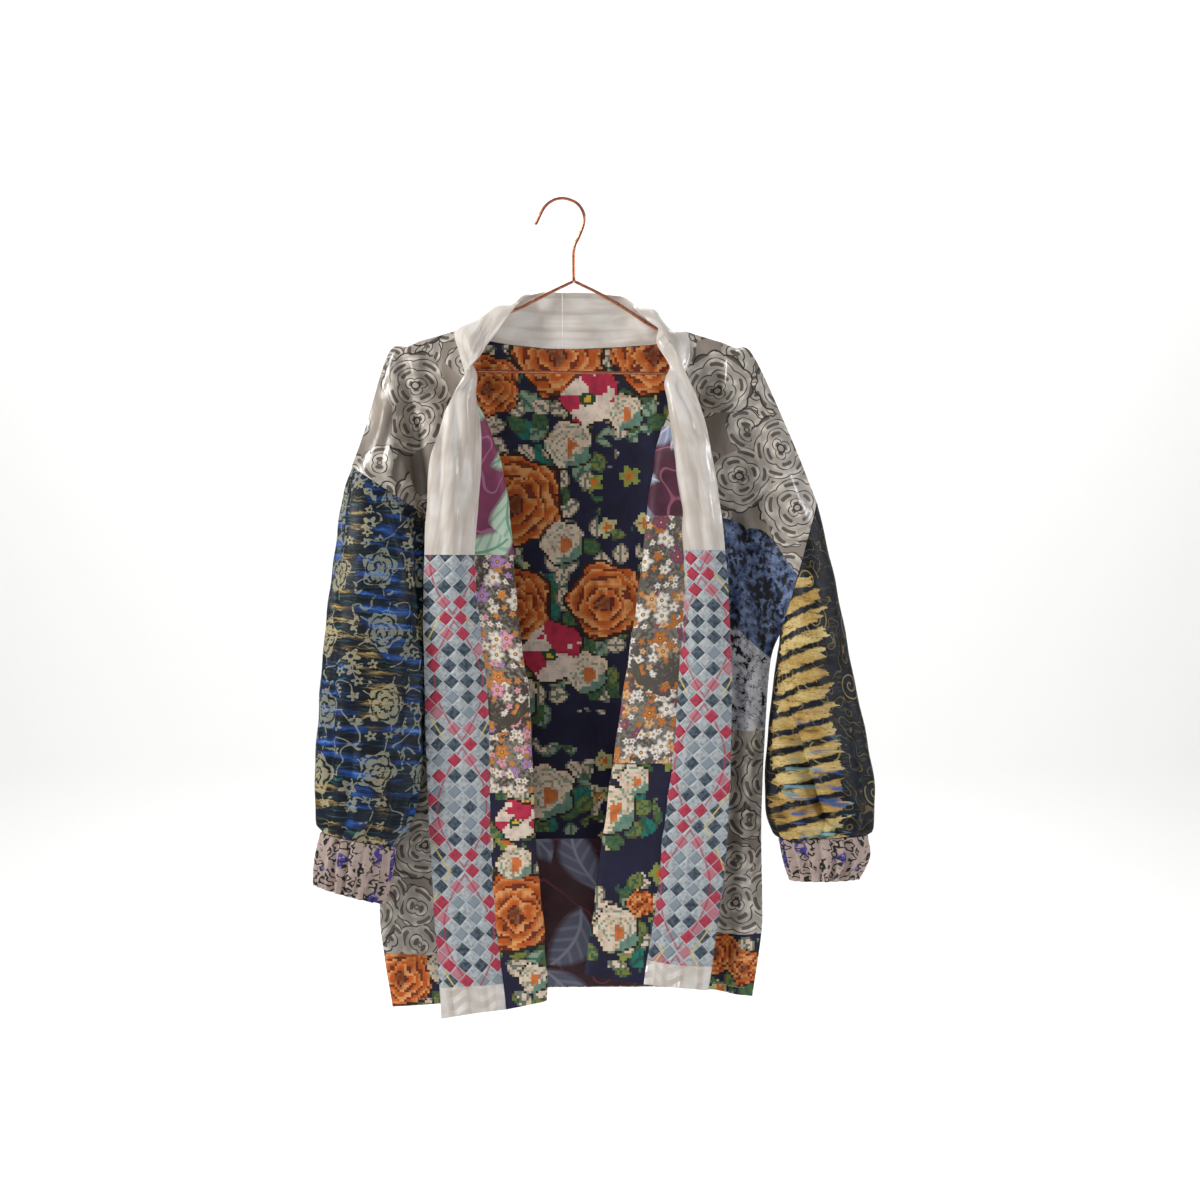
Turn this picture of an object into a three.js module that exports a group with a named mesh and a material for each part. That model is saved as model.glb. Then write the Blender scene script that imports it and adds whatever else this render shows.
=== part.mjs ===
// A kimono-style patchwork jacket on a wire hanger, as the closed solids of its cut pieces.
// Millimetres, +Z up. The origin is the inside top of the hanger's hook, where it hangs.
// The jacket faces -Y, and "left" and "right" are as seen from the front.
import * as THREE from 'three';

// ------------------------------------------------------------------ driving dimensions
const WIRE = 3.5;             // diameter of the hanger's wire
const WIRE_QUARTERS = 4;
const WIRE_STEP = 7;          // length of one straight step of the bent wire
const CLOTH = 1.2;            // thickness of an outer piece
const LINING = 1.0;           // thickness of a lining piece
const SEAM_GAP = 0.3;         // clear space between two pieces at a seam
const LINING_EASE = 0.6;      // clear space between the back and its lining
const ROLL = 7.5;             // radius of the roll where a front turns back
const LAPEL_LEAST = 4;        // turned-back cloth beside the seam before the roll is full
const ROLL_LEAD = 12;         // straight cloth before the roll
const CUFF_GATHERS = 18;      // waves of the elastic gathers in a cuff
const CUFF_GATHER_DEPTH = 1.8;
const CUFF_GATHER_START = 0.45; // share of that depth at the seam with the sleeve
const SLEEVE_GATHERS = 11;    // waves of the sleeve's fullness above a cuff
const SLEEVE_GATHER_DEPTH = 3;
const SLEEVE_GATHER_REACH = 2.2;  // rows above the cuff in which they rise, and fade again
const SLEEVE_GATHER_FADE = 0.4;
const SLEEVE_ROUND = 33;      // steps round a sleeve
const SLEEVE_SETBACK = 0.55;  // from the armhole line, where the directions differ
const SLEEVE_FIRST_ROW = 45;  // length of a sleeve's first row
const UNDERARM_EASE = 10;     // space between sleeve and side seam just below the underarm
const UNDERARM_TURN = 0.55;   // where that space is widest, in turns round the sleeve
const UNDERARM_NARROWNESS = 8;

// A layer is where a wall lies, measured from the outer pieces' middle towards the outside.
const SHELL_LAYER = [-CLOTH / 2, CLOTH / 2];
const LINING_LAYER = [-CLOTH / 2 - SEAM_GAP - LINING, -CLOTH / 2 - SEAM_GAP];
const BACK_LINING_LAYER = [-CLOTH / 2 - LINING_EASE - LINING, -CLOTH / 2 - LINING_EASE];
const BAND_LAYER = [LINING_LAYER[0], SHELL_LAYER[1]];
const STACK = -LINING_LAYER[0];

const UP = new THREE.Vector3(0, 0, 1);
const BACKWARD = new THREE.Vector3(0, 1, 0);

// ------------------------------------------------------------------ the collar band
// One row for each section of the band, from the centre back down to the hem.
const COLLAR_LEFT = [
  { seam: [-3.2, 16, -162], crown: [-3.2, 14, -132], edge: [-3.4, 6, -101] },
  { seam: [-22, 16, -162], crown: [-21, 14, -131], edge: [-20, 6, -100] },
  { seam: [-41, 15, -160], crown: [-39, 13.5, -128], edge: [-35, 5.5, -103] },
  { seam: [-59, 14, -158], crown: [-54, 11, -125.5], edge: [-47.5, 0, -108] },
  { seam: [-75, 13, -155], crown: [-72, 2, -116.5], edge: [-66, -13, -133] },
  { seam: [-94, 10, -151], crown: [-89, -1, -127.5], edge: [-84, -21, -158] },
  { seam: [-120, -2, -144.5], crown: [-107, -18, -146], edge: [-91, -33, -173] },
  { seam: [-116, -9, -168], crown: [-104, -33, -177], edge: [-103, -56, -190] },
  { seam: [-108, -13, -194], crown: [-96, -38, -196], edge: [-113, -56, -206] },
  { seam: [-100, -17, -217], crown: [-101, -46, -218], edge: [-121, -52, -220] },
  { seam: [-94, -21, -247], crown: [-106, -49, -249], edge: [-133, -50, -252] },
  { seam: [-92, -24, -287], crown: [-114, -50, -289], edge: [-144, -44, -290] },
  { seam: [-95, -26, -331], crown: [-118, -49, -332], edge: [-148, -40, -334] },
  { seam: [-99, -28, -396], crown: [-123, -46, -396], edge: [-151.5, -38, -396] },
  { seam: [-91, -28, -484], crown: [-120, -41, -484], edge: [-152.5, -37, -484] },
  { seam: [-84, -28, -553], crown: [-117, -38, -553], edge: [-151.5, -36, -553] },
  { seam: [-81.5, -28, -623], crown: [-114.5, -37, -623], edge: [-149.5, -35, -623] },
  { seam: [-81.5, -28, -693], crown: [-112.5, -37, -693], edge: [-146.5, -34, -693] },
  { seam: [-76, -28, -783], crown: [-108, -36, -784], edge: [-141, -33, -785] },
  { seam: [-66.5, -28, -860], crown: [-103, -35, -862], edge: [-135.5, -33, -864] },
  { seam: [-63.5, -28, -886], crown: [-101.5, -35, -890], edge: [-133, -33, -895] },
];
const COLLAR_RIGHT = [
  { seam: [-2.9, 16, -162], crown: [-2.9, 14, -132], edge: [-3.1, 6, -101] },
  { seam: [22, 16, -162], crown: [21, 14, -132], edge: [20, 6, -101] },
  { seam: [55, 16, -161], crown: [51, 14, -131], edge: [47, 5.5, -103] },
  { seam: [77, 15, -159], crown: [73, 12, -131], edge: [66, 1.5, -107.5] },
  { seam: [99, 13, -157], crown: [88, 0, -120], edge: [92, -19, -134] },
  { seam: [118, 7, -151], crown: [103, -3, -126], edge: [110, -27, -150] },
  { seam: [133, -3, -145.5], crown: [105, -24, -160], edge: [124, -36, -176] },
  { seam: [137, -10, -168], crown: [115, -33, -184], edge: [138, -43, -208] },
  { seam: [130, -15, -196], crown: [114.5, -42, -208], edge: [144, -46, -222] },
  { seam: [119, -22, -238], crown: [125, -52, -245], edge: [153, -52, -253] },
  { seam: [125, -25, -287], crown: [133.5, -54, -290], edge: [160.5, -50, -294] },
  { seam: [130.5, -28, -331], crown: [138, -55, -333], edge: [167, -48, -335] },
  { seam: [134, -30, -386.5], crown: [144.5, -53, -387], edge: [173.5, -46, -387] },
  { seam: [130.5, -31, -456], crown: [150, -50, -456], edge: [177.5, -43, -456] },
  { seam: [125, -32, -527], crown: [152, -46, -527], edge: [180.5, -40, -526] },
  { seam: [118.5, -32, -609], crown: [149, -42, -609], edge: [179.5, -38, -609] },
  { seam: [107, -32, -696], crown: [141.5, -40, -695], edge: [176.5, -37, -694] },
  { seam: [99.5, -32, -772], crown: [134, -39, -772], edge: [168.5, -36, -772] },
  { seam: [89.5, -32, -835], crown: [124.5, -38, -840], edge: [159.5, -36, -842] },
  { seam: [86.5, -32, -858], crown: [121, -38, -861], edge: [155.5, -36, -864] },
];
const SHOULDER_POINT = 6;      // collar row where the neck seam meets the shoulder seam

// ------------------------------------------------------------------ the fronts
// A yoke row starts on the armhole, at a share of the way from its top to the underarm.
// A body row starts on the side seam. "collar" is the collar row where the row ends,
// "turn" is how far the cloth has rolled back (0 to 1), "fold" is where it folds, and "lift"
// is how much higher the roll starts than the seam.
const YOKE_LEFT = [
  { arm: 0, drop: [-218, -8, -251], corner: [-194, -0.5, -169.5], chest: [-173, -0.5, -161.5],
    collar: 6, turn: 0, lift: -8 },
  { arm: 0.13, drop: [-210, -20, -256], corner: [-190, -8, -177], chest: [-171, -8, -169],
    collar: 6.45, turn: 0, lift: -8 },
  { arm: 0.4, drop: [-194, -30, -266], corner: [-179.5, -12, -204.5], chest: [-160, -15, -199],
    collar: 8, turn: 0.05, lift: -3 },
  { arm: 0.72, drop: [-174, -28, -296], corner: [-169, -10, -252], chest: [-139, -17, -243],
    collar: 10, turn: 0.8, lift: 0 },
  { arm: 1, drop: [-155, -11, -341], corner: [-151, -15, -331], chest: [-132, -16, -328],
    collar: 12, turn: 1, fold: -62, lift: 0 },
];
const BODY_LEFT = [
  { side: [-163, 3, -396], collar: 13, fold: -56, lift: 0 },
  { side: [-184, 5, -484], collar: 14, fold: -47, lift: 0 },
  { side: [-200.5, 6, -625], collar: 16, fold: -34.5, lift: 0 },
  { side: [-204, 6, -774], collar: 18, fold: -24, lift: 0 },
  { side: [-199, 4, -829], collar: 18.6, fold: -21, lift: 3 },
  { side: [-189.5, 3, -887.5], collar: 20, fold: -18.5, lift: 12 },
];
const YOKE_RIGHT = [
  { arm: 0, drop: [247, -8, -261], corner: [206.5, -0.5, -171.5], chest: [187, -0.5, -163.5],
    collar: 6, turn: 0, lift: -8.5 },
  { arm: 0.12, drop: [241, -21, -273], corner: [202, -8, -180], chest: [185, -8, -172],
    collar: 6.4, turn: 0, lift: -8.5 },
  { arm: 0.32, drop: [235, -30, -304], corner: [196.5, -17, -222], chest: [177, -15, -208],
    collar: 8, turn: 0.25, lift: -3 },
  { arm: 0.54, drop: [231, -33, -353], corner: [199, -20, -298], chest: [177, -17, -282],
    collar: 10, turn: 1, fold: 97, lift: 0 },
  { arm: 0.78, drop: [226, -32, -397], corner: [201, -22, -358], chest: [181, -17, -342],
    collar: 11, turn: 1, fold: 91.5, lift: 0 },
  { arm: 1, drop: [226, -20, -446], corner: [206, -21, -418], chest: [187, -17, -408],
    collar: 12.3, turn: 1, fold: 83, lift: 0 },
];
const BODY_RIGHT = [
  { side: [225.5, -8, -506], collar: 13.8, fold: 68, lift: 0 },
  { side: [219.5, -5, -583], collar: 14.7, fold: 57, lift: 0 },
  { side: [215.5, -3, -682], collar: 15.9, fold: 42.5, lift: 0 },
  { side: [216.5, -3, -770], collar: 17, fold: 32, lift: 0 },
  { side: [215.5, -3, -806], collar: 17.5, fold: 27.5, lift: 2 },
  { side: [205.5, -3, -875], collar: 19, fold: 22, lift: 13 },
];
// Columns of a body row: share of the way from the side seam to the roll, and how much of
// the depth is reached there. Depth past 1 is a ridge.
const BODY_COLUMNS_LEFT = [
  { share: 0.14, depth: 0.5 },
  { share: 0.4, depth: 1.05 },
  { share: 0.68, depth: 0.85 },
];
const BODY_COLUMNS_RIGHT = [
  { share: 0.13, depth: 1.0 },
  { share: 0.3, depth: 0.45 },
  { share: 0.6, depth: 0.95 },
];

// ------------------------------------------------------------------ the sleeves
// One row for each ring: its outer and inner point, half its depth, and how pressed its
// edges are (0 round, 1 sharp). The first ring is the armhole.
const SLEEVE_LEFT = [
  { outer: [-233, -12, -294], inner: [-156, -8, -345], half: 23, pressed: 0.2 },
  { outer: [-243.5, -30, -337], inner: [-153.5, -23, -381], half: 28, pressed: 0.5 },
  { outer: [-251, -42, -407], inner: [-153.5, -28, -430], half: 33, pressed: 0.5 },
  { outer: [-259, -49, -484], inner: [-153.5, -29, -495], half: 36, pressed: 0.5 },
  { outer: [-265, -52, -554], inner: [-153.5, -30, -558], half: 37, pressed: 0.5 },
  { outer: [-268.5, -52, -625], inner: [-155, -31, -623], half: 38, pressed: 0.4 },
  { outer: [-267, -51, -668], inner: [-164, -33, -671], half: 36, pressed: 0.2 },
  { outer: [-262, -49, -691], inner: [-183.5, -36, -707], half: 29, pressed: 0 },
];
const SLEEVE_RIGHT = [
  { outer: [275.5, -12, -333], inner: [236.5, -12, -475], half: 24, pressed: 0.2 },
  { outer: [292.5, -16, -407], inner: [232, -19, -505], half: 30, pressed: 0.4 },
  { outer: [305.5, -16, -475], inner: [226.5, -16, -543], half: 36, pressed: 0.4 },
  { outer: [319, -14, -540], inner: [223, -12, -588], half: 40, pressed: 0.4 },
  { outer: [332, -12, -602], inner: [221, -10, -631], half: 42, pressed: 0.3 },
  { outer: [339.5, -10, -653], inner: [220.5, -9, -669], half: 42, pressed: 0.2 },
  { outer: [336, -10, -684], inner: [228, -9, -691], half: 37, pressed: 0.1 },
  { outer: [329.5, -10, -697], inner: [235, -9, -701], half: 30, pressed: 0 },
];
const CUFF_LEFT = [
  { outer: [-262.2, -49, -691.9], inner: [-183.7, -36, -707.9], half: 28.8, pressed: 0 },
  { outer: [-268, -48, -721], inner: [-188, -37, -738], half: 27, pressed: 0 },
  { outer: [-268.5, -47, -749], inner: [-197, -39, -769], half: 25, pressed: 0.1 },
];
const CUFF_RIGHT = [
  { outer: [329.4, -10, -697.8], inner: [235.1, -9, -701.8], half: 29.8, pressed: 0 },
  { outer: [331, -10, -720], inner: [241, -9, -725], half: 28, pressed: 0 },
  { outer: [319, -10, -746], inner: [249, -9, -747], half: 26, pressed: 0.1 },
];
// A large fold that runs down a sleeve: where it starts and ends round the ring (turns from
// the outer point over the front), between which rows, how deep and how wide it is.
const SLEEVE_FOLDS_LEFT = [
  { from: 0.3, to: 0.22, first: 0.4, last: 5.5, depth: 6, width: 0.05 },
  { from: 0.42, to: 0.36, first: 1.5, last: 6.8, depth: 5, width: 0.04 },
  { from: 0.72, to: 0.78, first: 0.8, last: 6.5, depth: 6, width: 0.06 },
];
const SLEEVE_FOLDS_RIGHT = [
  { from: 0.47, to: 0.16, first: 0.8, last: 6.6, depth: 11, width: 0.05 },
  { from: 0.2, to: 0.1, first: 1.2, last: 5.2, depth: 4, width: 0.05 },
  { from: 0.7, to: 0.8, first: 0.8, last: 6.4, depth: 7, width: 0.06 },
];

// ------------------------------------------------------------------ the back
const BACK_STEP = 8;            // how far the back steps behind the wire below the shoulders
const BACK_STEP_REACH = 0.02;   // share of the length in which it does
const BACK_BULGE = 11;          // how far the back then bulges
const BACK_BULGE_REACH = 0.3;   // share of the length in which it gets there
const BACK_NECK_BULGE = 0.45;   // share of the bulge left just below the neck, which stands back
const BACK_EDGE_EASE = 0.14;    // share of the width in which the back leaves its side seams
const BACK_WAVES = 3;           // soft waves of the back, widest at the hem
const BACK_WAVE_DEPTH = 4.5;
const BACK_WAVE_START = 0.6;    // where the first wave is, as an angle
const BACK_FADES = [2, 3, 4];     // how fast its side edges' bends fade inwards, along X, Y and Z
const BACK_ARM_SHARE = 0.2;     // share of the back's side that is armhole
// Shares of the back's width where its columns stand, and their places along the hem.
const BACK_NECK_LEFT = 0.3;
const BACK_NECK_RIGHT = 0.7;
const BACK_NECK_EASE = 0.07;    // share of the width in which the step ends inside the neck
const BACK_HEM = [[-189.5, 3, -887.5], [-150, 8, -886], [-92, 11, -876], [-24, 11, -869],
  [44, 11, -869], [110, 11, -870], [170, 6, -872], [205.5, -3, -875]];
const LINING_TOP = 0.0003;       // the lining starts just below the back's upper edge
const LINING_HEM = 0.998;        // and ends just above the back's hem
const LINING_SEAM_SHARE = 0.0003;  // half the gap between two lining pieces, as a share

// ------------------------------------------------------------------ the hanger
const HOOK_PATH = [[-32, 0, -26], [-23, 0, -8.5], [-12, 0, 0.2], [0, 0, 1.75], [13, 0, -3.5],
  [20.5, 0, -14.5], [20.5, 0, -26], [15, 0, -41], [10, 0, -54], [9.8, 0, -88]];
const ARM_LEFT_PATH = [[8, 0, -90], [-16.5, 0, -101.8], [-47, 0, -117.6], [-67, 0, -126.3],
  [-93.5, 0, -143.2], [-120, 0, -155.2], [-157, 0, -163], [-182, 0, -169.1], [-189.5, 0, -174],
  [-190.5, 0, -180], [-187, 0, -185.6], [-180, 0, -187.2], [-170, 0, -187.4]];
const ARM_RIGHT_PATH = [[11.6, 0, -90], [38, 0, -103], [66, 0, -119.4], [91, 0, -136.2],
  [115, 0, -148.6], [133, 0, -157.6], [172, 0, -166.4], [195, 0, -171.6], [202.5, 0, -176.5],
  [203, 0, -183], [199, 0, -189.5], [192, 0, -191.4], [182, 0, -191.5]];
const BAR_PATH = [[-169.6, 0, -187.4], [0, 0, -189.6], [181.6, 0, -191.5]];

// ------------------------------------------------------------------ small helpers
const point = (triple) => new THREE.Vector3(...triple);
const mix = THREE.MathUtils.lerp;
const clamp = THREE.MathUtils.clamp;
const smooth = (value) => THREE.MathUtils.smoothstep(value, 0, 1);
const settled = (value) => 1 - (1 - clamp(value, 0, 1)) ** 2;

// A curve through the given points, asked by row: row 0 is the first point.
function rail(triples) {
  const curve = new THREE.CatmullRomCurve3(triples.map(point), false, 'catmullrom', 0.5);
  const last = triples.length - 1;
  return (row) => curve.getPoint(clamp(row, 0, last) / last);
}

// The same for a column of plain numbers.
function column(values) {
  const curve = rail(values.map((value) => [value, 0, 0]));
  return (row) => curve(row).x;
}

function steps(from, to, count) {
  return Array.from({ length: count + 1 }, (_, i) => mix(from, to, i / count));
}

// ------------------------------------------------------------------ walls
// The outward direction of a surface, from small steps along it.
function outward(surface, u, v, sign, reachU = 1e-3, reachV = reachU) {
  const du = surface(u + reachU, v).sub(surface(u - reachU, v));
  const dv = surface(u, v + reachV).sub(surface(u, v - reachV));
  return du.cross(dv).normalize().multiplyScalar(sign);
}

function solid(positions, triangles) {
  const geometry = new THREE.BufferGeometry();
  geometry.setAttribute('position', new THREE.Float32BufferAttribute(positions, 3));
  geometry.setIndex(insideOut(positions, triangles) ? triangles.reverse() : triangles);
  geometry.computeVertexNormals();
  return geometry;
}

function insideOut(positions, triangles) {
  const corner = (i) => new THREE.Vector3().fromArray(positions, 3 * triangles[i]);
  let volume = 0;
  for (let i = 0; i < triangles.length; i += 3) {
    volume += corner(i).dot(corner(i + 1).cross(corner(i + 2)));
  }
  return volume < 0;
}

// A sheet with thickness: every place of the grid is moved along its outward direction to
// the two faces of the layer, and the faces are joined round the rim.
function sheetWall({ surface, us, vs, layer, sign, facing }) {
  const positions = [];
  const across = us.length;
  const down = vs.length;
  for (const offset of layer) {
    vs.forEach((vOf) => us.forEach((u) => {
      const v = typeof vOf === 'function' ? vOf(u) : vOf;
      const direction = facing?.(u, v) ?? outward(surface, u, v, sign);
      positions.push(...surface(u, v).addScaledVector(direction, offset).toArray());
    }));
  }
  const at = (face, j, i) => face * across * down + j * across + i;
  const triangles = [];
  const quad = (a, b, c, d) => triangles.push(a, b, c, a, c, d);
  for (let j = 0; j < down - 1; j += 1) {
    for (let i = 0; i < across - 1; i += 1) {
      quad(at(0, j, i), at(0, j, i + 1), at(0, j + 1, i + 1), at(0, j + 1, i));
      quad(at(1, j, i), at(1, j + 1, i), at(1, j + 1, i + 1), at(1, j, i + 1));
    }
  }
  for (let i = 0; i < across - 1; i += 1) {
    quad(at(0, 0, i), at(1, 0, i), at(1, 0, i + 1), at(0, 0, i + 1));
    quad(at(0, down - 1, i), at(0, down - 1, i + 1), at(1, down - 1, i + 1), at(1, down - 1, i));
  }
  for (let j = 0; j < down - 1; j += 1) {
    quad(at(0, j, 0), at(0, j + 1, 0), at(1, j + 1, 0), at(1, j, 0));
    quad(at(0, j, across - 1), at(1, j, across - 1), at(1, j + 1, across - 1),
      at(0, j + 1, across - 1));
  }
  return solid(positions, triangles);
}

// A tube with thickness, open at both ends.
function tubeWall({ surface, around, vs, layer }) {
  const positions = [];
  const rows = vs.length;
  for (const offset of layer) {
    vs.forEach((vOf) => {
      for (let i = 0; i < around; i += 1) {
        const u = i / around;
        const v = typeof vOf === 'function' ? vOf(u) : vOf;
        const direction = outward(surface, u, v, 1);
        positions.push(...surface(u, v).addScaledVector(direction, offset).toArray());
      }
    });
  }
  const at = (face, j, i) => (face * rows + j) * around + (i % around);
  const triangles = [];
  const quad = (a, b, c, d) => triangles.push(a, b, c, a, c, d);
  for (let i = 0; i < around; i += 1) {
    for (let j = 0; j < rows - 1; j += 1) {
      quad(at(0, j, i), at(0, j, i + 1), at(0, j + 1, i + 1), at(0, j + 1, i));
      quad(at(1, j, i), at(1, j + 1, i), at(1, j + 1, i + 1), at(1, j, i + 1));
    }
    quad(at(0, 0, i), at(1, 0, i), at(1, 0, i + 1), at(0, 0, i + 1));
    quad(at(0, rows - 1, i), at(0, rows - 1, i + 1), at(1, rows - 1, i + 1),
      at(1, rows - 1, i));
  }
  return solid(positions, triangles);
}

// ------------------------------------------------------------------ collar surface
// u runs from the seam (0) to the free edge (1), v is the collar row.
function collarOf(rows) {
  const seam = rail(rows.map((row) => row.seam));
  const crown = rail(rows.map((row) => row.crown));
  const edge = rail(rows.map((row) => row.edge));
  const surface = (u, v) => seam(v).multiplyScalar((1 - u) * (1 - 2 * u))
    .addScaledVector(crown(v), 4 * u * (1 - u))
    .addScaledVector(edge(v), u * (2 * u - 1));
  return { seam, surface };
}

// ------------------------------------------------------------------ sleeve surface
// A ring's place at a turn from its outer point (0) over the front (0.25) to the inner
// point (0.5) and round the back.
function ringPoint({ outer, inner, half, pressed }, turn) {
  const angle = 2 * Math.PI * turn;
  const share = (1 - Math.cos(angle)) / 2;
  const swing = Math.sin(angle);
  const place = outer.clone().lerp(inner, share);
  place.y -= half * Math.sign(swing) * Math.abs(swing) ** (1 + pressed);
  return place;
}

function ringsOf(rows) {
  const outer = rail(rows.map((row) => row.outer));
  const inner = rail(rows.map((row) => row.inner));
  const half = column(rows.map((row) => row.half));
  const pressed = column(rows.map((row) => row.pressed));
  return (turn, row) => ringPoint({
    outer: outer(row), inner: inner(row), half: half(row), pressed: Math.max(0, pressed(row)),
  }, turn);
}

function foldDepth(folds, turn, row) {
  return folds.reduce((total, { from, to, first, last, depth, width }) => {
    const along = clamp((row - first) / (last - first), 0, 1);
    const away = (turn - mix(from, to, along)) / width;
    return total + depth * Math.sin(Math.PI * along) * Math.exp(-away * away);
  }, 0);
}

function sleeveSurface(rows, folds) {
  const ring = ringsOf(rows);
  const lastRow = rows.length - 1;
  return (turn, row) => {
    const wrapped = turn - Math.floor(turn);
    const place = ring(wrapped, row);
    const middle = ring(0, row).lerp(ring(0.5, row), 0.5);
    const above = lastRow - row;
    const gather = smooth((SLEEVE_GATHER_REACH - above) / 2) * smooth(above / SLEEVE_GATHER_FADE);
    const wave = SLEEVE_GATHER_DEPTH * gather * Math.cos(2 * Math.PI * SLEEVE_GATHERS * turn);
    const inwards = middle.sub(place).normalize();
    return place.addScaledVector(inwards, foldDepth(folds, wrapped, row) + wave);
  };
}

function cuffSurface(rows) {
  const ring = ringsOf(rows);
  return (turn, row) => {
    const place = ring(turn, row);
    const middle = ring(0, row).lerp(ring(0.5, row), 0.5);
    const wave = CUFF_GATHER_DEPTH * mix(CUFF_GATHER_START, 1, smooth(row / (rows.length - 1)))
      * Math.cos(2 * Math.PI * CUFF_GATHERS * turn);
    return place.addScaledVector(middle.sub(place).normalize(), wave);
  };
}

// ------------------------------------------------------------------ front surface
// Across a front, u counts its columns: 0 armhole or side seam, 1 drop, 2 corner, 3 chest,
// 4 before the roll, 5 to 6 the roll, 7 the seam with the collar band. v is the front's row.
const ROLL_START = 5;
const ROLL_END = 6;
const FRONT_END = 7;

function frontOf({ yoke, body, columns, collar, armhole, side }) {
  const rollLength = Math.PI * ROLL;
  const leastTurn = 0.01;
  const rows = [...yoke, ...body];
  const collarRow = column(rows.map((row) => row.collar));
  const turnAt = column(rows.map((row) => row.turn ?? 1));
  const lapelAt = column(rows.map((row) => lapelOf(row, collar, side)));
  const liftAt = column(rows.map((row) => row.lift));
  const underarm = yoke.length - 1;

  // How the cloth travels sideways and forward in the roll, after a share of its length.
  const rolled = (share, turn) => {
    const angle = Math.PI * Math.max(turn, leastTurn);
    const radius = rollLength / angle;
    return [radius * Math.sin(angle * share), -radius * (1 - Math.cos(angle * share)), angle * share];
  };
  const rollStart = (row) => {
    const [along, forward, angle] = rolled(1, turnAt(row));
    const lapel = lapelAt(row);
    const start = collar.seam(collarRow(row));
    start.x -= side * (along + lapel * Math.cos(angle));
    start.y -= forward - lapel * Math.sin(angle);
    start.z += liftAt(row);
    return start;
  };
  const lead = (row) => {
    const drop = liftAt(row) * ROLL_LEAD / (rollLength + lapelAt(row));
    return rollStart(row).add(new THREE.Vector3(-side * ROLL_LEAD, 0, drop));
  };

  const bodyColumn = (row, index, { share, depth }) => {
    const from = point(row.side);
    const to = lead(yoke.length + index);
    return [mix(from.x, to.x, share), mix(from.y, to.y, depth), mix(from.z, to.z, share)];
  };
  const outerRail = rail(rows.map((row) => row.side ?? armhole(row.arm).toArray()));
  const inner = ['drop', 'corner', 'chest'].map((name, c) => rail([
    ...yoke.map((row) => row[name]),
    ...body.map((row, index) => bodyColumn(row, index, columns[c])),
  ]));
  const armRow = column(yoke.map((row) => row.arm));
  const outer = (v) => (v <= underarm ? armhole(clamp(armRow(v), 0, 1)) : outerRail(v));

  const surface = (u, v) => {
    if (u < ROLL_START) {
      const across = [outer(v), ...inner.map((line) => line(v)), lead(v), rollStart(v)];
      return rail(across.map((place) => place.toArray()))(Math.max(u, 0));
    }
    const share = clamp(u - ROLL_START, 0, 1);
    const [along, forward, angle] = rolled(share, turnAt(v));
    const lapel = lapelAt(v) * Math.max(0, u - ROLL_END);
    const place = rollStart(v);
    place.x += side * (along + lapel * Math.cos(angle));
    place.y += forward - lapel * Math.sin(angle);
    const flat = rollLength + lapelAt(v);
    place.z -= liftAt(v) * (share * rollLength + lapel) / flat;
    return place;
  };
  return { surface, collarRow, underarm, lastRow: rows.length - 1 };
}

// The straight cloth between the roll and the seam, from where the row says it folds.
function lapelOf(row, collar, side) {
  if (row.fold === undefined) return LAPEL_LEAST;
  return (row.fold - collar.seam(row.collar).x) * side - ROLL - STACK;
}

// ------------------------------------------------------------------ directions at seams
// At a seam both pieces end on one plane, so their outward directions there are shared.
const sideways = (side) => new THREE.Vector3(-side, 0, 0);
const NEAR = 0.05;              // a short way along a seam, in rows
const INSET = 0.002;            // a surface's direction at its edge is taken this far inside

function squared(direction, tangent) {
  const along = tangent.clone().normalize();
  return direction.clone().addScaledVector(along, -direction.dot(along)).normalize();
}

function bandSeamDirection(collar, front, frontRow, side) {
  const row = front.collarRow(frontRow);
  const tangent = collar.seam(row + NEAR).sub(collar.seam(row - NEAR));
  const chord = collar.surface(NEAR, row).sub(front.surface(FRONT_END - 2 * NEAR, frontRow));
  return chord.cross(tangent).normalize().multiplyScalar(-side);
}

// ------------------------------------------------------------------ the garment's surfaces
const LEFT = 1;      // a left front runs towards +X
const RIGHT = -1;

function armholeOf(sleeveRows) {
  const ring = ringsOf(sleeveRows);
  return {
    front: (share) => ring(0.5 * share, 0),
    back: (share) => ring(1 - 0.5 * share, 0),
  };
}

const collarLeft = collarOf(COLLAR_LEFT);
const collarRight = collarOf(COLLAR_RIGHT);
const armholeLeft = armholeOf(SLEEVE_LEFT);
const armholeRight = armholeOf(SLEEVE_RIGHT);
const frontLeft = frontOf({
  yoke: YOKE_LEFT, body: BODY_LEFT, columns: BODY_COLUMNS_LEFT,
  collar: collarLeft, armhole: armholeLeft.front, side: LEFT,
});
const frontRight = frontOf({
  yoke: YOKE_RIGHT, body: BODY_RIGHT, columns: BODY_COLUMNS_RIGHT,
  collar: collarRight, armhole: armholeRight.front, side: RIGHT,
});

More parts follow.
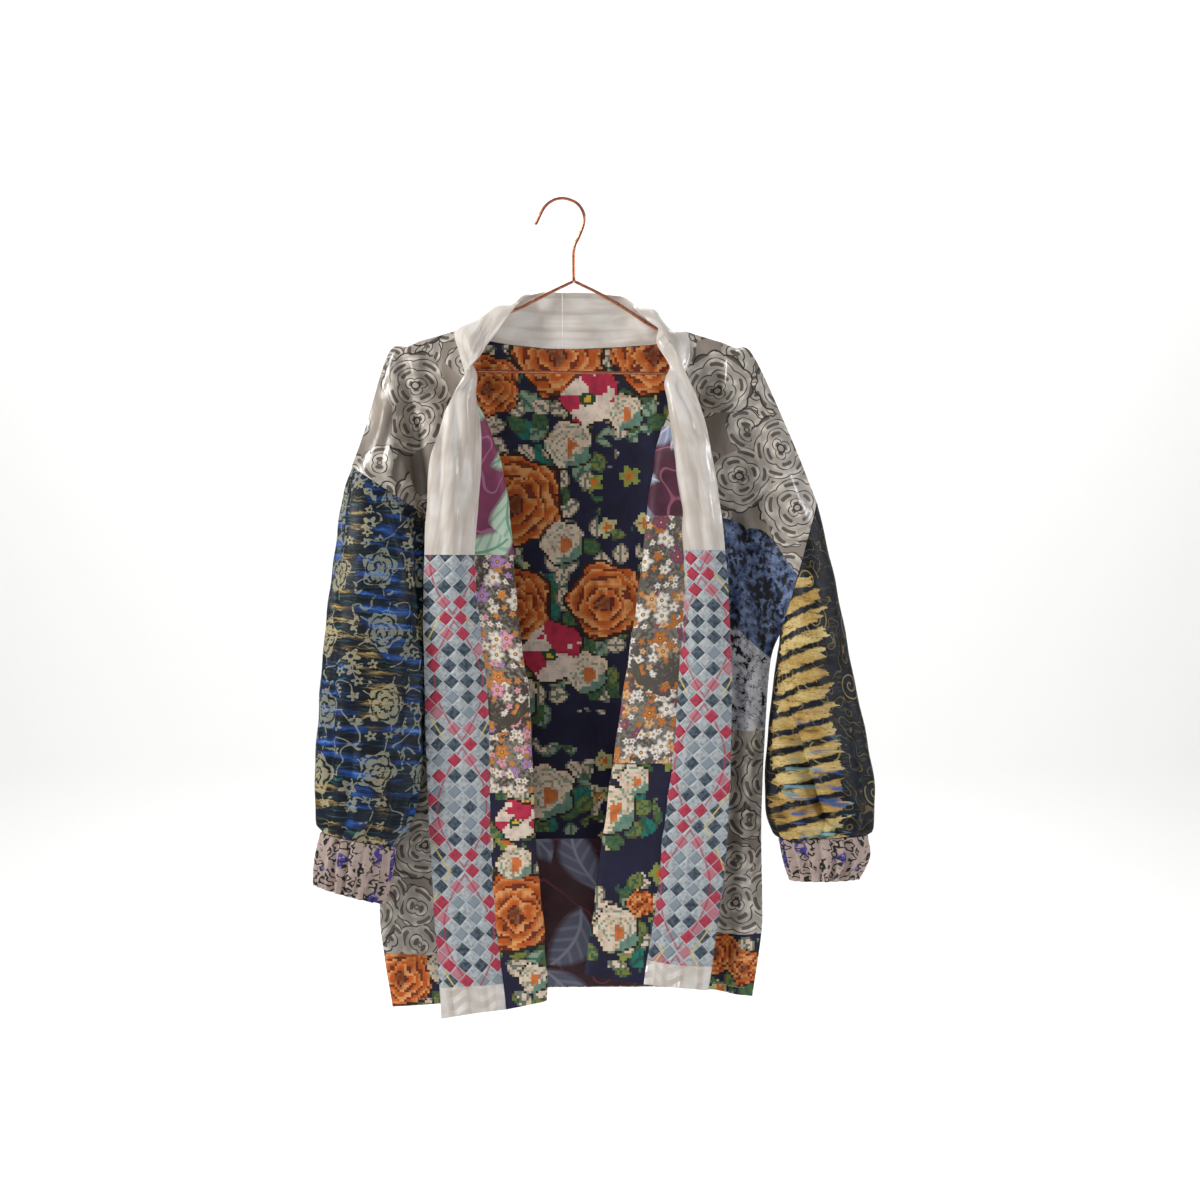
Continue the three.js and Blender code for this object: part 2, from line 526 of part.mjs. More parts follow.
// The back fills the frame of its four edges: shoulders and neck, hem, and the two sides
// that it shares with the fronts. u runs from left to right and v from top to hem, 0 to 1.
function backSurfaceOf() {
  const shoulderLeft = rail([armholeLeft.back(0).toArray(), YOKE_LEFT[0].drop,
    YOKE_LEFT[0].corner, YOKE_LEFT[0].chest, COLLAR_LEFT[SHOULDER_POINT].seam]);
  const shoulderRight = rail([COLLAR_RIGHT[SHOULDER_POINT].seam, YOKE_RIGHT[0].chest,
    YOKE_RIGHT[0].corner, YOKE_RIGHT[0].drop, armholeRight.back(0).toArray()]);
  const top = (u) => {
    if (u < BACK_NECK_LEFT) return shoulderLeft(4 * u / BACK_NECK_LEFT);
    if (u > BACK_NECK_RIGHT) return shoulderRight(4 * (u - BACK_NECK_RIGHT) / (1 - BACK_NECK_RIGHT));
    const middle = (BACK_NECK_LEFT + BACK_NECK_RIGHT) / 2;
    const reach = SHOULDER_POINT / (middle - BACK_NECK_LEFT);
    return u < middle ? collarLeft.seam((middle - u) * reach) : collarRight.seam((u - middle) * reach);
  };
  const hemRail = rail(BACK_HEM);
  const hem = (u) => hemRail(u * (BACK_HEM.length - 1));
  const edge = (armhole, front) => (v) => {
    if (v < BACK_ARM_SHARE) return armhole.back(v / BACK_ARM_SHARE);
    const row = mix(front.underarm, front.lastRow, (v - BACK_ARM_SHARE) / (1 - BACK_ARM_SHARE));
    return front.surface(0, row);
  };
  const left = edge(armholeLeft, frontLeft);
  const right = edge(armholeRight, frontRight);
  // How far a side edge bends away from the straight line between its ends, faded inwards.
  const bend = (side, start, end, v, share) => {
    const fade = new THREE.Vector3(...BACK_FADES.map((power) => share ** power));
    return side(v).sub(start.clone().lerp(end, v)).multiply(fade);
  };
  const beneathNeck = (u) => smooth((u - BACK_NECK_LEFT) / BACK_NECK_EASE)
    * smooth((BACK_NECK_RIGHT - u) / BACK_NECK_EASE);
  const corners = [top(0), top(1), hem(0), hem(1)];
  return (uAsked, vAsked) => {
    const u = clamp(uAsked, 0, 1);
    const v = clamp(vAsked, 0, 1);
    const place = top(u).lerp(hem(u), v)
      .add(bend(left, corners[0], corners[2], v, 1 - u))
      .add(bend(right, corners[1], corners[3], v, u));
    const edgeEase = smooth(u / BACK_EDGE_EASE) * smooth((1 - u) / BACK_EDGE_EASE);
    const neck = Math.sin(Math.PI * u) ** 2 * (1 - smooth(v / BACK_BULGE_REACH));
    const bulge = BACK_BULGE * settled(v / BACK_BULGE_REACH) * (1 - (1 - BACK_NECK_BULGE) * neck)
      + BACK_STEP * settled(v / BACK_STEP_REACH) * (1 - beneathNeck(u));
    const waves = BACK_WAVE_DEPTH * v * v * Math.cos(2 * Math.PI * BACK_WAVES * u + BACK_WAVE_START);
    place.y += edgeEase * (bulge + waves);
    return place;
  };
}
const backSurface = backSurfaceOf();

// ------------------------------------------------------------------ pieces
const jacket = new THREE.Group();

const COTTON_ROUGHNESS = 0.85;
const PRINT_ROUGHNESS = 0.65;
const SATIN_ROUGHNESS = 0.35;
const COPPER_ROUGHNESS = 0.3;

function add(name, geometry, colour, roughness = COTTON_ROUGHNESS, metalness = 0) {
  const material = new THREE.MeshStandardMaterial({ color: colour, roughness, metalness });
  const mesh = new THREE.Mesh(geometry, material);
  mesh.name = name;
  jacket.add(mesh);
}

const COLOURS = {
  roseSatin: '#a5a09b', whiteSatin: '#f2eeea', diamondPrint: '#a9b3ba', needlepoint: '#55322f',
  smallFlowers: '#6a5f58', plum: '#8e3560', aubergine: '#5e2a45', darkPlum: '#3a1a20',
  blueLace: '#5f7196', whitePrint: '#c9ccd0', stripeNavy: '#1d2a44', stripeGold: '#8a7438',
  cuff: '#b8a59d', copper: '#c07858',
};

const SHOULDER_ROWS = 0.05;    // rows that end at the shoulder seam, where the front is squared

// A front's outer edge is armhole down to the underarm and side seam below it.
function frontFacing(collar, front, side, sign) {
  return (u, v) => {
    if (u >= FRONT_END) return bandSeamDirection(collar, front, v, side);
    const own = outward(front.surface, clamp(u, INSET, FRONT_END - INSET), v, sign);
    if (v < SHOULDER_ROWS) {
      const tangent = front.surface(u + NEAR, 0).sub(front.surface(Math.max(u - NEAR, 0), 0));
      return squared(UP, tangent);
    }
    if (u <= 0 && v >= front.underarm) {
      const above = front.surface(0, Math.max(v - NEAR, front.underarm));
      return squared(sideways(side), front.surface(0, v + NEAR).sub(above));
    }
    return own;
  };
}

const FRONT_US = [0, 0.5, 1, 1.5, 2, 2.5, 3, 3.5, 4, 5, 5.25, 5.5, 5.75, 6, 6.5, FRONT_END];
const FRONT_TRIM = 0.2;        // setback of a front's long edges, from the seam line

// The front's surface with its edges set back from the seam lines.
function trimmedFront(front) {
  return (u, v) => {
    const inner = front.surface(Math.min(u, FRONT_END), v);
    if (u >= FRONT_END) {
      const before = front.surface(FRONT_END - NEAR, v);
      return inner.addScaledVector(before.sub(inner).normalize(), FRONT_TRIM);
    }
    if (u <= 0) {
      const after = front.surface(NEAR, v);
      return inner.addScaledVector(after.sub(inner).normalize(), FRONT_TRIM);
    }
    return inner;
  };
}

function frontPiece(name, front, collar, side, vs, colour) {
  const sign = -side;
  add(name, sheetWall({
    surface: trimmedFront(front), us: FRONT_US, vs, layer: SHELL_LAYER, sign,
    facing: frontFacing(collar, front, side, sign),
  }), colour);
}

const ROW_GAP = 0.0035;         // half a seam's gap, in rows
const SLANT_END = 2.2;          // the column where the slant of a seam ends

// A seam that slants: the row where it meets the outer edge, and its row further in.
const slanted = ([outer, inner]) => (u) => mix(outer, inner, clamp(u / SLANT_END, 0, 1));
const below = ([outer, inner]) => [outer + ROW_GAP, inner + ROW_GAP];
const above = ([outer, inner]) => [outer - ROW_GAP, inner - ROW_GAP];

// The rows of one piece, with half a seam's gap left at its top and, if sewn on, below.
function pieceRows(pairs, { sewnBelow = true } = {}) {
  const last = pairs.length - 1;
  return pairs.map((pair, i) => {
    if (i === 0) return slanted(below(pair));
    return slanted(i === last && sewnBelow ? above(pair) : pair);
  });
}
const level = (rows) => rows.map((row) => [row, row]);

const LEFT_ROWS = [0.009, 0.3, 0.65, 1, 1.5, 2, 2.5, 3, 3.5, 4, 4.4, 4.93, 5.3, 5.7, 6, 6.6, 7.19, 7.7,
  8.2, 9, 9.3, 10];
const LEFT_HEM_ROW = 9;

function addLeftFront() {
  frontPiece('front_left_body', frontLeft, collarLeft, LEFT, pieceRows(level(
    LEFT_ROWS.filter((row) => row <= LEFT_HEM_ROW),
  )), COLOURS.roseSatin);
  frontPiece('front_left_hem', frontLeft, collarLeft, LEFT,
    pieceRows(level(LEFT_ROWS.filter((row) => row >= LEFT_HEM_ROW)), { sewnBelow: false }),
    COLOURS.needlepoint);
}

function addRightFront() {
  const pieces = [
    { name: 'yoke', colour: COLOURS.roseSatin,
      rows: [...level([0.026, 0.3, 0.65, 1, 1.5, 2]), [2.4, 2.6], [2.7, 3.4], [3, 4.17]] },
    { name: 'lace', colour: COLOURS.blueLace,
      rows: [[3, 4.17], [3.5, 4.28], [4.2, 4.77], [4.85, 4.95], [5.45, 5.3], [5.95, 5.6]] },
    { name: 'print', colour: COLOURS.whitePrint,
      rows: [[5.95, 5.6], [6.3, 6.1], [6.65, 6.55], [7, 7]] },
    { name: 'satin', colour: COLOURS.roseSatin, rows: level([7, 7.35, 8, 8.6, 9.2, 10]) },
    { name: 'hem', colour: COLOURS.needlepoint, rows: level([10, 10.33, 11]), last: true },
  ];
  pieces.forEach(({ name, colour, rows, last }) => frontPiece(
    `front_right_${name}`, frontRight, collarRight, RIGHT,
    pieceRows(rows, { sewnBelow: !last }), colour,
  ));
}

const LINING_START = 4;         // the column where a front's lining strip starts

// The lining that shows where a front turns back: the lapel, the roll and a little behind.
function liningStrip(name, front, collar, side, rows, colour) {
  const sign = -side;
  add(name, sheetWall({
    surface: trimmedFront(front),
    us: FRONT_US.filter((u) => u >= LINING_START),
    vs: pieceRows(level(rows), { sewnBelow: rows.at(-1) !== front.lastRow }),
    layer: LINING_LAYER,
    sign,
    facing: frontFacing(collar, front, side, sign),
  }), colour);
}

function addFrontLinings() {
  const left = [
    { name: 'top', rows: [2.5, 3, 3.5, 4, 4.4, 4.93], colour: COLOURS.plum },
    { name: 'middle', rows: [4.93, 5.3, 5.7, 6, 6.6, 7.19], colour: COLOURS.smallFlowers },
    { name: 'low', rows: [7.19, 7.7, 8.2, 9, 9.3, 10], colour: COLOURS.needlepoint },
  ];
  const right = [
    { name: 'top', rows: [2, 2.6, 3.4, 4.17, 4.28], colour: COLOURS.aubergine },
    { name: 'middle', rows: [4.28, 4.77, 4.95, 5.3, 5.6, 6.1, 6.55, 7, 7.35],
      colour: COLOURS.smallFlowers },
    { name: 'low', rows: [7.35, 8, 8.6, 9.2, 10, 10.33, 11], colour: COLOURS.needlepoint },
  ];
  left.forEach(({ name, rows, colour }) => {
    liningStrip(`lining_left_${name}`, frontLeft, collarLeft, LEFT, rows, colour);
  });
  right.forEach(({ name, rows, colour }) => {
    liningStrip(`lining_right_${name}`, frontRight, collarRight, RIGHT, rows, colour);
  });
}

// The band's seam edge follows the back's neck down to the shoulder point and the front's
// edge below it.
function bandFacing(collar, front, side) {
  const frontRowAt = (collarRow) => {
    let low = 0;
    let high = front.lastRow;
    while (high - low > INSET) {
      const middle = (low + high) / 2;
      if (front.collarRow(middle) < collarRow) low = middle;
      else high = middle;
    }
    return low;
  };
  return (u, v) => {
    const own = outward(collar.surface, u, v, -side, BAND_REACH, BAND_ROW_REACH);
    if (u > BAND_START) return own;
    if (v >= BAND_TO_FRONT) return bandSeamDirection(collar, front, frontRowAt(v), side);
    const backOfNeck = smooth((SHOULDER_POINT - v) / NECK_TURN_ROWS);
    const tangent = collar.seam(v + NEAR).sub(collar.seam(v - NEAR));
    return own.lerp(squared(UP.clone().lerp(BACKWARD, backOfNeck), tangent), NECK_SHARE).normalize();
  };
}

const BAND_START = 0.006;      // the band's setback from its seam, as a share of its width
const BAND_US = [BAND_START, 0.18, 0.36, 0.54, 0.7, 0.85, 1];
const BAND_GAP = 0.003;         // half the gap between two band pieces, in rows
const BAND_FIRST_ROW = 0.1;     // the front's rows from here on are also the band's
const BAND_TO_FRONT = SHOULDER_POINT + 0.3;  // from this row on the band meets the front
const BAND_REACH = 0.1;         // how far across and along the band its direction is averaged
const BAND_ROW_REACH = 0.3;
const NECK_TURN_ROWS = 3;       // rows in which the neck seam turns from upright to backward
const NECK_SHARE = 0.6;         // how far the band's edge follows the neck's direction
const NECK_ROWS = [0, 0.7, 1.4, 2.1, 2.8, 3.5, 4.2, 4.7, 5.2, 5.6, 6];
// Below the neck the band's rows are those of the front that it is sewn to. The print starts
// and ends at these rows of the front.
const LEFT_BAND = { rows: LEFT_ROWS, print: 4.93, end: 9.3 };
const RIGHT_BAND = {
  rows: [0.3, 0.65, 1, 1.5, 2, 2.6, 3.4, 4.17, 4.28, 4.77, 4.95, 5.3, 5.6, 6.1, 6.55, 7, 7.35, 8, 8.6,
    9.2, 10, 10.33, 11],
  print: 4.77,
  end: 10.33,
};

function bandPiece(name, collar, front, side, rows, colour, roughness) {
  add(name, sheetWall({
    surface: collar.surface, us: BAND_US, vs: rows, layer: BAND_LAYER, sign: -side,
    facing: bandFacing(collar, front, side),
  }), colour, roughness);
}

function addBand(word, collar, front, side, { rows, print, end }) {
  const sewn = (first, last) => rows.filter((row) => row > first && row < last).map(front.collarRow);
  const printRow = front.collarRow(print);
  const endRow = front.collarRow(end);
  const satinRows = [...NECK_ROWS, ...sewn(BAND_FIRST_ROW, print)];
  bandPiece(`collar_${word}`, collar, front, side,
    [...satinRows, printRow - BAND_GAP], COLOURS.whiteSatin, SATIN_ROUGHNESS);
  bandPiece(`band_${word}`, collar, front, side,
    [printRow + BAND_GAP, ...sewn(print, end), endRow - BAND_GAP], COLOURS.diamondPrint,
    PRINT_ROUGHNESS);
  bandPiece(`band_end_${word}`, collar, front, side,
    [endRow + BAND_GAP, front.collarRow(rows.at(-1))], COLOURS.whiteSatin, SATIN_ROUGHNESS);
}

const BACK_RIM = 0.002;         // how near the back's edge its direction is squared, as a share
const BACK_INSET = 0.003;       // and how far inside it is taken elsewhere
const BACK_US = [0.0008, 0.04, 0.08, 0.12, 0.16, 0.2, 0.25, 0.3, 0.36, 0.43, 0.5, 0.57, 0.64, 0.7,
  0.75, 0.8, 0.84, 0.88, 0.92, 0.96, 0.9992];
const BACK_TOP = 0.0009;
const BACK_NECK_DROP = 0.0025;   // clear space below the collar band
const backTop = (u) => BACK_TOP
  + (u > BACK_NECK_LEFT && u < BACK_NECK_RIGHT ? BACK_NECK_DROP : 0);
const BACK_YOKE_VS = [backTop, 0.01, 0.02, 0.05, 0.09, 0.14, 0.2];
// Below the underarm the back's rows meet the rows of the left and of the right front.
const BACK_BODY_ROWS = [[4.4, 5.45], [4.93, 5.95], [5.3, 6.3], [5.7, 6.65], [6, 7], [6.6, 7.35],
  [7.19, 8], [7.7, 8.6], [8.2, 9.2], [9, 10], [9.3, 10.33], [10, 11]];
const BACK_UPPER_SEAM = 2;       // places in the list above where the lining has its seams
const BACK_LOWER_SEAM = 8;

function backRow([leftRow, rightRow]) {
  const shareOf = (front, row) => mix(BACK_ARM_SHARE, 1,
    (row - front.underarm) / (front.lastRow - front.underarm));
  return (u) => mix(shareOf(frontLeft, leftRow), shareOf(frontRight, rightRow), u);
}

function backFacing(u, v) {
  const own = outward(backSurface, clamp(u, BACK_INSET, 1 - BACK_INSET),
    clamp(v, BACK_INSET, 1 - BACK_INSET), 1);
  if (v < BACK_RIM && (u <= BACK_NECK_LEFT || u >= BACK_NECK_RIGHT)) {
    const tangent = backSurface(u + BACK_INSET, 0).sub(backSurface(u - BACK_INSET, 0));
    return squared(UP, tangent);
  }
  if (v >= BACK_ARM_SHARE && (u < BACK_RIM || u > 1 - BACK_RIM)) {
    const edge = Math.round(u);
    const tangent = backSurface(edge, v + BACK_INSET).sub(backSurface(edge, v));
    return squared(sideways(edge === 0 ? LEFT : RIGHT), tangent);
  }
  return own;
}

function addBack() {
  add('back', sheetWall({
    surface: backSurface, us: BACK_US, vs: [...BACK_YOKE_VS, ...BACK_BODY_ROWS.map(backRow)],
    layer: SHELL_LAYER, sign: 1, facing: backFacing,
  }), COLOURS.roseSatin);
}

// The lining hangs on the back's own lines.
function addBackLining() {
  const us = BACK_US.slice(1, -1);
  const rows = BACK_BODY_ROWS.map(backRow);
  const gap = LINING_SEAM_SHARE;
  const upperSeam = rows[BACK_UPPER_SEAM];
  const lowerSeam = rows[BACK_LOWER_SEAM];
  const pieces = [
    { name: 'upper', colour: COLOURS.needlepoint,
      vs: [(u) => backTop(u) + LINING_TOP, ...BACK_YOKE_VS.slice(1), ...rows.slice(0, BACK_UPPER_SEAM),
        (u) => upperSeam(u) - gap] },
    { name: 'middle', colour: COLOURS.needlepoint,
      vs: [(u) => upperSeam(u) + gap, ...rows.slice(BACK_UPPER_SEAM + 1, BACK_LOWER_SEAM),
        (u) => lowerSeam(u) - gap] },
    { name: 'lower', colour: COLOURS.darkPlum,
      vs: [(u) => lowerSeam(u) + gap, ...rows.slice(BACK_LOWER_SEAM + 1, -1), LINING_HEM] },
  ];
  pieces.forEach(({ name, vs, colour }) => {
    add(`back_lining_${name}`, sheetWall({
      surface: backSurface, us, vs, layer: BACK_LINING_LAYER, sign: 1, facing: backFacing,
    }), colour);
  });
}

function addSleeve(word, sleeveRows, folds, cuffRows, colour) {
  const lastRow = sleeveRows.length - 1;
  const nearUnderarm = (u) => ((1 + Math.cos(2 * Math.PI * (u - UNDERARM_TURN))) / 2)
    ** UNDERARM_NARROWNESS;
  const start = (u) => (SLEEVE_SETBACK + UNDERARM_EASE * nearUnderarm(u)) / SLEEVE_FIRST_ROW;
  const rows = [start, 0.5, 1, 1.6, 2.2, 2.9, 3.6, 4.3, 4.9, 5.5, 6.2, lastRow];
  add(`sleeve_${word}`, tubeWall({
    surface: sleeveSurface(sleeveRows, folds), around: SLEEVE_ROUND, vs: rows, layer: SHELL_LAYER,
  }), colour, PRINT_ROUGHNESS);
  add(`cuff_${word}`, tubeWall({
    surface: cuffSurface(cuffRows), around: 4 * CUFF_GATHERS, vs: [0, 0.7, 1.4, 2], layer: SHELL_LAYER,
  }), COLOURS.cuff, PRINT_ROUGHNESS);
}

function addWire(name, path) {
  const curve = new THREE.CatmullRomCurve3(path.map(point));
  const outline = new THREE.Shape();
  outline.absarc(0, 0, WIRE / 2, 0, 2 * Math.PI, false);
  const geometry = new THREE.ExtrudeGeometry(outline, {
    steps: Math.ceil(curve.getLength() / WIRE_STEP),
    curveSegments: WIRE_QUARTERS,
    bevelEnabled: false,
    extrudePath: curve,
  });
  add(name, geometry, COLOURS.copper, COPPER_ROUGHNESS, 1);
}

addWire('hanger_hook', HOOK_PATH);
addWire('hanger_arm_left', ARM_LEFT_PATH);
addWire('hanger_arm_right', ARM_RIGHT_PATH);
addWire('hanger_bar', BAR_PATH);
addBack();
addBackLining();
addLeftFront();
addRightFront();
addFrontLinings();
addBand('left', collarLeft, frontLeft, LEFT, LEFT_BAND);
addBand('right', collarRight, frontRight, RIGHT, RIGHT_BAND);
addSleeve('left', SLEEVE_LEFT, SLEEVE_FOLDS_LEFT, CUFF_LEFT, COLOURS.stripeNavy);
addSleeve('right', SLEEVE_RIGHT, SLEEVE_FOLDS_RIGHT, CUFF_RIGHT, COLOURS.stripeGold);

export default jacket;
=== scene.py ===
import math

import bmesh
import bpy
import numpy as np
from bpy.props import FloatProperty, FloatVectorProperty, PointerProperty
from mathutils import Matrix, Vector


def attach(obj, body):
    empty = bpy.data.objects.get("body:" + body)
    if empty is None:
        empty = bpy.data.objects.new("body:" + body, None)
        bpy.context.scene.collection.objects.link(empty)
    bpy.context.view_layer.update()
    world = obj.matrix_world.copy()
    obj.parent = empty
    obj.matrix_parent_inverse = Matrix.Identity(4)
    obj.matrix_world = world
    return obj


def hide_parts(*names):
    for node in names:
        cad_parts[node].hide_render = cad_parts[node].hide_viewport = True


bl_info = {
    "name": "Kimono jacket on a wire hanger",
    "version": (1, 0, 0),
    "blender": (4, 5, 0),
    "location": "3D View > Sidebar > Kimono",
    "description": "Builds a patchwork kimono jacket that hangs on a copper wire hanger",
    "category": "Object",
}

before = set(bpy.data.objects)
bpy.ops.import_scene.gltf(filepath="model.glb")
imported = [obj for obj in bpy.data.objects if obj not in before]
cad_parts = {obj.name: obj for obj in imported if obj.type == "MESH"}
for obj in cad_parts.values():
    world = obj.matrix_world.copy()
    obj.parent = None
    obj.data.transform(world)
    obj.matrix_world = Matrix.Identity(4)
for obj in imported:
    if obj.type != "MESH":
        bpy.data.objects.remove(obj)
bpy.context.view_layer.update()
MM = 0.001


def table(names, *rows):
    """Rows of sizes under named columns."""
    return tuple(dict(zip(names.split(), row)) for row in rows)


# ------------------------------------------------------------------ sizes of the forms, in mm
# A collar row: the neck seam, the crown of the band, and its free edge, from the centre of
# the back down to the hem.
COLLAR_LEFT = table("seam crown edge",
    ((-3.2, 16, -162), (-3.2, 14, -132), (-3.4, 6, -101)),
    ((-22, 16, -162), (-21, 14, -131), (-20, 6, -100)),
    ((-41, 15, -160), (-39, 13.5, -128), (-35, 5.5, -103)),
    ((-59, 14, -158), (-54, 11, -125.5), (-47.5, 0, -108)),
    ((-75, 13, -155), (-72, 2, -116.5), (-66, -13, -133)),
    ((-94, 10, -151), (-89, -1, -127.5), (-84, -21, -158)),
    ((-120, -2, -144.5), (-107, -18, -146), (-91, -33, -173)),
    ((-116, -9, -168), (-104, -33, -177), (-103, -56, -190)),
    ((-108, -13, -194), (-96, -38, -196), (-113, -56, -206)),
    ((-100, -17, -217), (-101, -46, -218), (-121, -52, -220)),
    ((-94, -21, -247), (-106, -49, -249), (-133, -50, -252)),
    ((-92, -24, -287), (-114, -50, -289), (-144, -44, -290)),
    ((-95, -26, -331), (-118, -49, -332), (-148, -40, -334)),
    ((-99, -28, -396), (-123, -46, -396), (-151.5, -38, -396)),
    ((-91, -28, -484), (-120, -41, -484), (-152.5, -37, -484)),
    ((-84, -28, -553), (-117, -38, -553), (-151.5, -36, -553)),
    ((-81.5, -28, -623), (-114.5, -37, -623), (-149.5, -35, -623)),
    ((-81.5, -28, -693), (-112.5, -37, -693), (-146.5, -34, -693)),
    ((-76, -28, -783), (-108, -36, -784), (-141, -33, -785)),
    ((-66.5, -28, -860), (-103, -35, -862), (-135.5, -33, -864)),
    ((-63.5, -28, -886), (-101.5, -35, -890), (-133, -33, -895)))
COLLAR_RIGHT = table("seam crown edge",
    ((-2.9, 16, -162), (-2.9, 14, -132), (-3.1, 6, -101)),
    ((22, 16, -162), (21, 14, -132), (20, 6, -101)),
    ((55, 16, -161), (51, 14, -131), (47, 5.5, -103)),
    ((77, 15, -159), (73, 12, -131), (66, 1.5, -107.5)),
    ((99, 13, -157), (88, 0, -120), (92, -19, -134)),
    ((118, 7, -151), (103, -3, -126), (110, -27, -150)),
    ((133, -3, -145.5), (105, -24, -160), (124, -36, -176)),
    ((137, -10, -168), (115, -33, -184), (138, -43, -208)),
    ((130, -15, -196), (114.5, -42, -208), (144, -46, -222)),
    ((119, -22, -238), (125, -52, -245), (153, -52, -253)),
    ((125, -25, -287), (133.5, -54, -290), (160.5, -50, -294)),
    ((130.5, -28, -331), (138, -55, -333), (167, -48, -335)),
    ((134, -30, -386.5), (144.5, -53, -387), (173.5, -46, -387)),
    ((130.5, -31, -456), (150, -50, -456), (177.5, -43, -456)),
    ((125, -32, -527), (152, -46, -527), (180.5, -40, -526)),
    ((118.5, -32, -609), (149, -42, -609), (179.5, -38, -609)),
    ((107, -32, -696), (141.5, -40, -695), (176.5, -37, -694)),
    ((99.5, -32, -772), (134, -39, -772), (168.5, -36, -772)),
    ((89.5, -32, -835), (124.5, -38, -840), (159.5, -36, -842)),
    ((86.5, -32, -858), (121, -38, -861), (155.5, -36, -864)))
# A front's row beside the armhole: its place on the armhole as a share, the columns towards
# the band, the collar's row it meets, how far it is turned back, where its turned edge ends
# (x, or None for a narrow one), and how far the roll is lifted.
YOKE_LEFT = table("arm drop corner chest collar turn fold lift",
    (0, (-218, -8, -251), (-194, -0.5, -169.5), (-173, -0.5, -161.5), 6, 0, None, -8),
    (0.13, (-210, -20, -256), (-190, -8, -177), (-171, -8, -169), 6.45, 0, None, -8),
    (0.4, (-194, -30, -266), (-179.5, -12, -204.5), (-160, -15, -199), 8, 0.05, None, -3),
    (0.72, (-174, -28, -296), (-169, -10, -252), (-139, -17, -243), 10, 0.8, None, 0),
    (1, (-155, -11, -341), (-151, -15, -331), (-132, -16, -328), 12, 1, -62, 0))
# A front's row below the underarm: the side seam, and the rest as above.
BODY_LEFT = table("side collar fold lift",
    ((-163, 3, -396), 13, -56, 0),
    ((-184, 5, -484), 14, -47, 0),
    ((-200.5, 6, -625), 16, -34.5, 0),
    ((-204, 6, -774), 18, -24, 0),
    ((-199, 4, -829), 18.6, -21, 3),
    ((-189.5, 3, -887.5), 20, -18.5, 12))
YOKE_RIGHT = table("arm drop corner chest collar turn fold lift",
    (0, (247, -8, -261), (206.5, -0.5, -171.5), (187, -0.5, -163.5), 6, 0, None, -8.5),
    (0.12, (241, -21, -273), (202, -8, -180), (185, -8, -172), 6.4, 0, None, -8.5),
    (0.32, (235, -30, -304), (196.5, -17, -222), (177, -15, -208), 8, 0.25, None, -3),
    (0.54, (231, -33, -353), (199, -20, -298), (177, -17, -282), 10, 1, 97, 0),
    (0.78, (226, -32, -397), (201, -22, -358), (181, -17, -342), 11, 1, 91.5, 0),
    (1, (226, -20, -446), (206, -21, -418), (187, -17, -408), 12.3, 1, 83, 0))
BODY_RIGHT = table("side collar fold lift",
    ((225.5, -8, -506), 13.8, 68, 0),
    ((219.5, -5, -583), 14.7, 57, 0),
    ((215.5, -3, -682), 15.9, 42.5, 0),
    ((216.5, -3, -770), 17, 32, 0),
    ((215.5, -3, -806), 17.5, 27.5, 2),
    ((205.5, -3, -875), 19, 22, 13))
# Shares of the way from the side seam to the roll, across and forward, for three columns.
BODY_COLUMNS_LEFT = table("share depth",
    (0.14, 0.5),
    (0.4, 1.05),
    (0.68, 0.85))
BODY_COLUMNS_RIGHT = table("share depth",
    (0.13, 1.0),
    (0.3, 0.45),
    (0.6, 0.95))
# A sleeve's or cuff's ring: its outer and inner place, half its depth and how flat it lies.
SLEEVE_LEFT = table("outer inner half pressed",
    ((-233, -12, -294), (-156, -8, -345), 23, 0.2),
    ((-243.5, -30, -337), (-153.5, -23, -381), 28, 0.5),
    ((-251, -42, -407), (-153.5, -28, -430), 33, 0.5),
    ((-259, -49, -484), (-153.5, -29, -495), 36, 0.5),
    ((-265, -52, -554), (-153.5, -30, -558), 37, 0.5),
    ((-268.5, -52, -625), (-155, -31, -623), 38, 0.4),
    ((-267, -51, -668), (-164, -33, -671), 36, 0.2),
    ((-262, -49, -691), (-183.5, -36, -707), 29, 0))
SLEEVE_RIGHT = table("outer inner half pressed",
    ((275.5, -12, -333), (236.5, -12, -475), 24, 0.2),
    ((292.5, -16, -407), (232, -19, -505), 30, 0.4),
    ((305.5, -16, -475), (226.5, -16, -543), 36, 0.4),
    ((319, -14, -540), (223, -12, -588), 40, 0.4),
    ((332, -12, -602), (221, -10, -631), 42, 0.3),
    ((339.5, -10, -653), (220.5, -9, -669), 42, 0.2),
    ((336, -10, -684), (228, -9, -691), 37, 0.1),
    ((329.5, -10, -697), (235, -9, -701), 30, 0))
CUFF_LEFT = table("outer inner half pressed",
    ((-262.2, -49, -691.9), (-183.7, -36, -707.9), 28.8, 0),
    ((-268, -48, -721), (-188, -37, -738), 27, 0),
    ((-268.5, -47, -749), (-197, -39, -769), 25, 0.1))
CUFF_RIGHT = table("outer inner half pressed",
    ((329.4, -10, -697.8), (235.1, -9, -701.8), 29.8, 0),
    ((331, -10, -720), (241, -9, -725), 28, 0),
    ((319, -10, -746), (249, -9, -747), 26, 0.1))
# Large sleeve folds: places round the ring in turns, and rows down the sleeve.
SLEEVE_FOLDS_LEFT = table("start end first last depth width",
    (0.3, 0.22, 0.4, 5.5, 6, 0.05),
    (0.42, 0.36, 1.5, 6.8, 5, 0.04),
    (0.72, 0.78, 0.8, 6.5, 6, 0.06))
SLEEVE_FOLDS_RIGHT = table("start end first last depth width",
    (0.47, 0.16, 0.8, 6.6, 11, 0.05),
    (0.2, 0.1, 1.2, 5.2, 4, 0.05),
    (0.7, 0.8, 0.8, 6.4, 7, 0.06))
